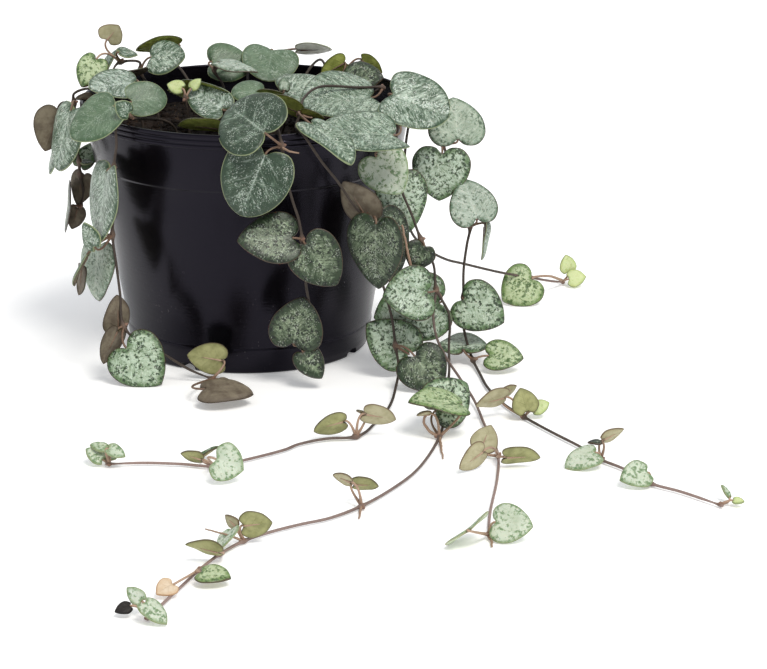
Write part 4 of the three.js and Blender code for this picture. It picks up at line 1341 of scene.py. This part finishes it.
def grown_vine(name, stems, seed):
    body = Body()
    rng = np.random.default_rng(seed)
    for stops in stems:
        line, ages = add_stem(body, stops, YOUNG_ENDS.get(name, 0), rng)
        for stop in stops:
            i = min(range(len(line)), key=lambda i: (line[i] - stop["at"]).length_squared)
            for one in stop["leaves"]:
                draws = rng.random(4).tolist()
                age = max(ages[i], YOUNG_PETIOLE if one["look"] in YOUNG_LOOKS else OLD_PETIOLE)
                add_petiole(body, line[i], one, age, draws)
                add_blade(body, one, draws)
    for thick, thin, stops in ROOTLETS.get(name, []):
        add_rootlet(body, stops, thick, thin, rng)
    piece = body.made(f"leafy_{name}", FINISHES)
    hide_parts(name)
    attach(piece, "root")
    return piece


grown = [grown_vine(name, stems, FIRST_VINE_SEED + i) for i, (name, stems) in enumerate(VINES.items())]
print("triangles in the vines:", sum(len(p.vertices) - 2 for piece in grown for p in piece.data.polygons))

# %% [markdown]
# ## The pot
#
# A nursery pot is one thin moulding: a tapered wall with two faint steps, a thicker band at the rim
# with fine grooves, and notches at the foot that let water out. It is a turned form, so a profile is
# spun round the upright axis with many sides, and the notches are cut out with a Boolean whose cutters
# are round-topped.

# %% The pot's profile
RIM_BAND_HEIGHT = 4.8
BAND_BOTTOM = POT_HEIGHT - RIM_BAND_HEIGHT
RIM_TOP_INNER_RADIUS = 52.8
WALL_TOP_RADIUS = 52.4
BASE_RADIUS = 38.9
WALL_THICKNESS = 1.3
FLOOR_THICKNESS = 1.8
BASE_ROUNDING = 1.2
UPPER_STEP_HEIGHT = 62
LOWER_STEP_HEIGHT = 8
STEP_DEPTH = 0.35
STEP_RUN = 1.0
STEP_PIECES = 4
RIM_ROUNDING = 0.5
RIM_GROOVES = (3.3, 1.7)
GROOVE_DEPTH = 0.22
GROOVE_WIDTH = 0.5
GROOVE_SHAPE = ((-1, 0), (-0.45, 0.8), (0, 1), (0.45, 0.8), (1, 0))
WALL_STEP = 6
FOOT_STEP = 0.8


def wall_radius(height):
    return BASE_RADIUS + (WALL_TOP_RADIUS - BASE_RADIUS) / BAND_BOTTOM * height


def arc(radius, height, rounding, first, last, pieces=5):
    """Points on an arc in the profile, from one angle to another in degrees."""
    angles = [math.radians(first + (last - first) * i / pieces) for i in range(pieces + 1)]
    return [(radius + rounding * math.cos(a), height + rounding * math.sin(a)) for a in angles]


def step_in(height, start, way):
    """A small smooth step in the wall, from an inset of start. way is 1 where it moves in, and -1 out."""
    step = []
    for i in range(STEP_PIECES + 1):
        share = i / STEP_PIECES
        ease = share * share * (3 - 2 * share)
        at = height + STEP_RUN * share
        step.append((wall_radius(at) - start - way * STEP_DEPTH * ease, at))
    return step


def wall_between(low, high, inset, step=WALL_STEP):
    heights = np.linspace(low, high, max(2, round((high - low) / step)))[1:-1]
    return [(wall_radius(height) - inset, height) for height in heights]


def pot_profile():
    profile = [(0, 0), (BASE_RADIUS / 2, 0)]
    profile += arc(BASE_RADIUS - BASE_ROUNDING, BASE_ROUNDING, BASE_ROUNDING, -90, 8)
    profile += wall_between(BASE_ROUNDING, LOWER_STEP_HEIGHT, 0, FOOT_STEP)
    profile += step_in(LOWER_STEP_HEIGHT, 0, 1)
    profile += wall_between(LOWER_STEP_HEIGHT + STEP_RUN, UPPER_STEP_HEIGHT, STEP_DEPTH)
    profile += step_in(UPPER_STEP_HEIGHT, STEP_DEPTH, -1)
    profile += wall_between(UPPER_STEP_HEIGHT + STEP_RUN, BAND_BOTTOM, 0)
    profile += [(WALL_TOP_RADIUS, BAND_BOTTOM)]
    profile += arc(RIM_RADIUS - RIM_ROUNDING, BAND_BOTTOM + RIM_ROUNDING, RIM_ROUNDING, -70, 0)
    for drop in RIM_GROOVES:
        for offset, depth in GROOVE_SHAPE:
            profile.append((RIM_RADIUS - GROOVE_DEPTH * depth, POT_HEIGHT - drop + GROOVE_WIDTH * offset))
    profile += arc(RIM_RADIUS - RIM_ROUNDING, POT_HEIGHT - RIM_ROUNDING, RIM_ROUNDING, 0, 90)
    profile += arc(RIM_TOP_INNER_RADIUS + RIM_ROUNDING, POT_HEIGHT - RIM_ROUNDING, RIM_ROUNDING, 90, 180)
    profile += [(WALL_TOP_RADIUS - WALL_THICKNESS, BAND_BOTTOM)]
    profile += wall_between(BAND_BOTTOM, FLOOR_THICKNESS, WALL_THICKNESS + STEP_DEPTH)
    profile += [(wall_radius(FLOOR_THICKNESS) - WALL_THICKNESS, FLOOR_THICKNESS), (0, FLOOR_THICKNESS)]
    return profile


print("pot profile points:", len(pot_profile()))

# %% Spin the profile
POT_SIDES = 240


def turned(name, profile, sides):
    """A closed turned mesh. The profile's first and last points lie on the axis."""
    turns = [2 * math.pi * i / sides for i in range(sides)]
    points = [(0, 0, profile[0][1]), (0, 0, profile[-1][1])]
    points += [(r * math.cos(turn), r * math.sin(turn), z) for r, z in profile[1:-1] for turn in turns]
    top = len(points) - sides
    faces = []
    for i in range(sides):
        following = (i + 1) % sides
        faces.append((0, 2 + following, 2 + i))
        faces.append((1, top + i, top + following))
        for low in range(2, top, sides):
            high = low + sides
            faces.append((low + i, low + following, high + following, high + i))
    return placed(name, mesh_of(name, points, faces))


pot = turned("nursery_pot", pot_profile(), POT_SIDES)
print("pot faces:", len(pot.data.polygons))

# %% Cut the drain notches
NOTCH_COUNT = 4
FIRST_NOTCH_ANGLE = -29
NOTCH_WIDTH = 6
NOTCH_HEIGHT = 2.6
NOTCH_DEPTH = 6
NOTCH_BELOW = 2
ARCH_STEPS = 14
ARCH_FULLNESS = 0.6
CREASE_ANGLE = 28


def notch_cutter(angle):
    """A long arch that lies along a radius of the pot."""
    arch = [(-NOTCH_WIDTH / 2, -NOTCH_BELOW), (NOTCH_WIDTH / 2, -NOTCH_BELOW)]
    for i in range(ARCH_STEPS + 1):
        turn = math.pi * i / ARCH_STEPS
        arch.append((NOTCH_WIDTH / 2 * math.cos(turn), NOTCH_HEIGHT * math.sin(turn) ** ARCH_FULLNESS))
    outward = Vector((math.cos(angle), math.sin(angle), 0))
    ends = (BASE_RADIUS - NOTCH_DEPTH, BASE_RADIUS + NOTCH_DEPTH)
    points = [Vector((depth, y, z)) for depth in ends for y, z in arch]
    for point in points:
        point.rotate(Vector((1, 0, 0)).rotation_difference(outward))
    count = len(arch)
    faces = [(i, (i + 1) % count, count + (i + 1) % count, count + i) for i in range(count)]
    faces += [range(count)[::-1], range(count, 2 * count)]
    return placed("cutter", mesh_of("cutter", points, faces))


for i in range(NOTCH_COUNT):
    cutter = notch_cutter(math.radians(FIRST_NOTCH_ANGLE + 360 * i / NOTCH_COUNT))
    cut = pot.modifiers.new("notch", "BOOLEAN")
    cut.operation = "DIFFERENCE"
    cut.object = cutter
    cut.solver = "EXACT"
    bpy.context.view_layer.update()
    cut_mesh = bpy.data.meshes.new_from_object(pot.evaluated_get(bpy.context.evaluated_depsgraph_get()))
    pot.modifiers.clear()
    pot.data = cut_mesh
    bpy.data.objects.remove(cutter)
smoothed(pot.data)
pot.data.set_sharp_from_angle(angle=math.radians(CREASE_ANGLE))
print("pot faces with notches:", len(pot.data.polygons))

# %% [markdown]
# ## The pot's plastic
#
# The plastic is dyed black in the mass, with a satin gloss that mirrors the white room softly. What
# makes it look real is small: faint streaks of the mould, a little dust low on the wall, and gloss that
# isn't even.

# %% Pot material
POT_BUMP = 0.00012
POT_BLACKS = (5, 4, 6), (10, 9, 12)
DUST_GREY = (120, 116, 118)
POT_SHEEN = (0.78, 0.72, 1.0, 1.0)
POT_BANDS = (1.0, 1.0, 9.0)
POT_BAND_PITCH = 160
POT_CLOUD_PITCH = 28
POT_GRAIN_PITCH = 1900
DUST_SPOT_PITCH = 950
DUST_PATCH_PITCH = 60
DUST_TOP = (0.012, 0.05)


def pot_plastic():
    shader = Shader("black_pot_plastic", Specular_IOR_Level=0.21, Specular_Tint=POT_SHEEN)
    where = shader.object_place()
    _, _, z = shader.numbers(where)
    bands = shader.noise(shader.vector_maths("MULTIPLY", where, POT_BANDS), POT_BAND_PITCH, 3.0, 0.6)
    clouds = shader.noise(where, POT_CLOUD_PITCH, 3.0, 0.55)
    fine = shader.noise(where, POT_GRAIN_PITCH)
    dust_spots = shader.noise(where, DUST_SPOT_PITCH, 2.0, 0.7).between(0.66, 0.74)
    patches = shader.noise(where, DUST_PATCH_PITCH).between(0.5, 0.7)
    dust = dust_spots * patches * (1 - z.between(*DUST_TOP))
    base = shader.mix(clouds, *[srgb(*black) for black in POT_BLACKS])
    base = shader.mix(dust * 0.6, base, srgb(*DUST_GREY))
    roughness = 0.15 + 0.08 * clouds + 0.06 * bands + 0.3 * dust
    return shader.finish(base, roughness, 0.35 * bands + 0.25 * fine + 0.5 * clouds, POT_BUMP)


pot.data.materials.clear()
pot.data.materials.append(pot_plastic())
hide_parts("pot")
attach(pot, "root")
print("pot material:", pot.data.materials[0].name)

# %% [markdown]
# ## The soil
#
# Potting mix is crumbly: dark peat, brown bark chips and a few fibres. A displaced disc alone looks
# like mud, so the surface is a fine turned mesh with noise, and crumbs and chips are pressed into it as
# real small solids, all in one mesh.

# %% The soil's body
SOIL_HEIGHT = 70.5
SOIL_GAP = 0.35
SOIL_ROUGHNESS = 0.8
SOIL_SIDES = 150
SOIL_RINGS = 46
SOIL_LUMPS = ((0.12, 0.9), (0.35, 0.6), (0.9, 0.35))


def soil_side(height):
    return wall_radius(height) - WALL_THICKNESS - STEP_DEPTH - SOIL_GAP


def soil_top(x, y):
    """The same slow waves as in the CAD source, with lumps on them."""
    wide = math.sin(0.23 * x + 0.4) * math.cos(0.19 * y - 0.8)
    fine = math.sin(0.61 * x - 0.5 * y) * math.cos(0.47 * y + 0.3 * x)
    lumps = sum(size * noise.noise(Vector((x, y, 0)) * pitch) for pitch, size in SOIL_LUMPS)
    return SOIL_HEIGHT + SOIL_ROUGHNESS * (0.6 * wide + 0.4 * fine) + lumps


def soil_profile():
    bottom = FLOOR_THICKNESS + SOIL_GAP
    rings = [(soil_side(SOIL_HEIGHT) * i / SOIL_RINGS, SOIL_HEIGHT) for i in range(SOIL_RINGS, -1, -1)]
    return [(0, bottom), (soil_side(bottom), bottom), *rings]


soil = turned("potting_soil", soil_profile(), SOIL_SIDES)
for vertex in soil.data.vertices:
    if vertex.co.z > (SOIL_HEIGHT - 1) * MM:
        vertex.co.z = soil_top(vertex.co.x / MM, vertex.co.y / MM) * MM
print("soil points:", len(soil.data.vertices))

# %% Press crumbs and bark chips into it
CRUMBS = 1100
CHIPS = 160
SOIL_SEED = 5
WALL_MARGIN = 1.5
STANDING_OUT = 0.1
CRUMB_SIZES = (0.5, 1.5)
CRUMB_WIDTHS = (0.6, 1.0)
CRUMB_HEIGHT = 0.7
CHIP_SIZES = (1.4, 3.6)
CHIP_WIDTH = 0.45
CHIP_THICKNESS = 0.5
GRAIN_ROUGHNESS = 0.5
GRAIN_NOISE_PITCH = 1.3
FULL_TURN = 6.28


def crumb_sizes(rng):
    size = drawn(CRUMB_SIZES, rng.random() ** 2)
    return size, size * drawn(CRUMB_WIDTHS, rng.random()), size * CRUMB_HEIGHT


def chip_sizes(rng):
    size = drawn(CHIP_SIZES, rng.random())
    return size, size * CHIP_WIDTH, CHIP_THICKNESS


def add_grain(mesh, place, sizes, turn, seed):
    """A small ball, squeezed and roughened. Its points go into mesh."""
    made = bmesh.ops.create_icosphere(mesh, subdivisions=1, radius=1)
    for vert in made["verts"]:
        bent = 1 + GRAIN_ROUGHNESS * noise.noise(vert.co * GRAIN_NOISE_PITCH + Vector((seed, 0, 0)))
        x, y, z = [value * size * bent for value, size in zip(vert.co, sizes)]
        vert.co = (x * math.cos(turn) - y * math.sin(turn), x * math.sin(turn) + y * math.cos(turn), z)
        vert.co = (vert.co + place) * MM


rng = np.random.default_rng(SOIL_SEED)
grains = bmesh.new()
grains.from_mesh(soil.data)
for i in range(CRUMBS + CHIPS):
    radius = (soil_side(SOIL_HEIGHT) - WALL_MARGIN) * math.sqrt(rng.random())
    turn = 2 * math.pi * rng.random()
    x, y = radius * math.cos(turn), radius * math.sin(turn)
    sizes = crumb_sizes(rng) if i < CRUMBS else chip_sizes(rng)
    add_grain(grains, Vector((x, y, soil_top(x, y) + STANDING_OUT)), sizes, FULL_TURN * rng.random(), i)
grains.to_mesh(soil.data)
grains.free()
smoothed(soil.data)
print("soil faces:", len(soil.data.polygons))

# %% Soil material
SOIL_BUMP = 0.0006
PEAT_BROWNS = (18, 14, 12), (38, 28, 22)
CHIP_BROWN = (86, 64, 46)
FIBRE_BROWN = (106, 84, 62)
SOIL_SHADE = (0.5, 0.45, 0.42)
LUMP_PITCH = 190
GRIT_PITCH = 900
FIBRE_PITCH = 1400
FIBRE_STRETCH = (1.0, 0.25, 1.0)
CHIP_PITCH = 260


def soil_crumbs():
    shader = Shader("potting_mix", Specular_IOR_Level=0.2)
    where = shader.object_place()
    lumps = shader.noise(where, LUMP_PITCH, 3.0, 0.6)
    grit = shader.noise(where, GRIT_PITCH, 3.0, 0.7)
    drawn_out = shader.vector_maths("MULTIPLY", where, FIBRE_STRETCH)
    fibre = shader.noise(drawn_out, FIBRE_PITCH, 2.0, 0.6).between(0.62, 0.7)
    chips = shader.cells(where, CHIP_PITCH).between(0.1, 0.5)
    base = shader.mix(lumps.between(0.35, 0.7), *[srgb(*brown) for brown in PEAT_BROWNS])
    base = shader.mix((1 - chips) * grit.between(0.45, 0.7) * 0.5, base, srgb(*CHIP_BROWN))
    base = shader.mix(fibre * 0.5, base, srgb(*FIBRE_BROWN))
    base = shader.tinted(base, grit.between(0.3, 0.8) * 0.6, SOIL_SHADE)
    return shader.finish(base, 0.85 + 0.1 * grit, grit + 0.6 * lumps + 0.4 * fibre, SOIL_BUMP)


soil.data.materials.clear()
soil.data.materials.append(soil_crumbs())
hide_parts("soil")
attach(soil, "root")
print("soil material:", soil.data.materials[0].name)

# %% [markdown]
# ## Floor and light
#
# The plant stands on a white sweep in a bright, soft room. The floor is one large plain sheet. Two wide
# suns give even light with soft shadows at any distance, where an area lamp would fall off across the
# floor, and a white surrounding fills the rest and is what the pot mirrors.

# %% Floor
HALF_FLOOR = 6000
FLOOR_WHITE = (0.96, 0.96, 0.96, 1.0)
FLOOR_ROUGHNESS = 0.8
FLOOR_GLOW = 0.2

corners = [(x * HALF_FLOOR, y * HALF_FLOOR, 0) for x, y in ((-1, -1), (1, -1), (1, 1), (-1, 1))]
floor = placed("floor", mesh_of("floor", corners, [(0, 1, 2, 3)]))
glow = {"Emission_Color": WHITE, "Emission_Strength": FLOOR_GLOW}
sweep = Shader("white_sweep", Base_Color=FLOOR_WHITE, Roughness=FLOOR_ROUGHNESS, **glow)
floor.data.materials.append(sweep.material)
print("floor:", 2 * HALF_FLOOR * MM, "m wide")

# %% Light
ROOM_COLOUR = (0.92, 0.95, 1.0, 1.0)
ROOM_STRENGTH = 0.62
SUN_COLOUR = (1.0, 0.97, 0.91)
SUNS = [("key", (30, 18, 0), 2.1, 24), ("fill", (-35, -25, 0), 0.35, 60)]

world = bpy.data.worlds.new("white_room")
world.use_nodes = True
world.node_tree.nodes["Background"].inputs["Color"].default_value = ROOM_COLOUR
world.node_tree.nodes["Background"].inputs["Strength"].default_value = ROOM_STRENGTH
bpy.context.scene.world = world
for name, turns, strength, width in SUNS:
    sun = placed(name, bpy.data.lights.new(name, "SUN"))
    sun.data.energy = strength
    sun.data.angle = math.radians(width)
    sun.data.color = SUN_COLOUR
    sun.rotation_euler = [math.radians(turn) for turn in turns]
bpy.context.scene.view_settings.view_transform = "Standard"
print("lights:", len(SUNS))

# %% [markdown]
# ## Size
#
# The dressed plant has to stay as large as the CAD model.
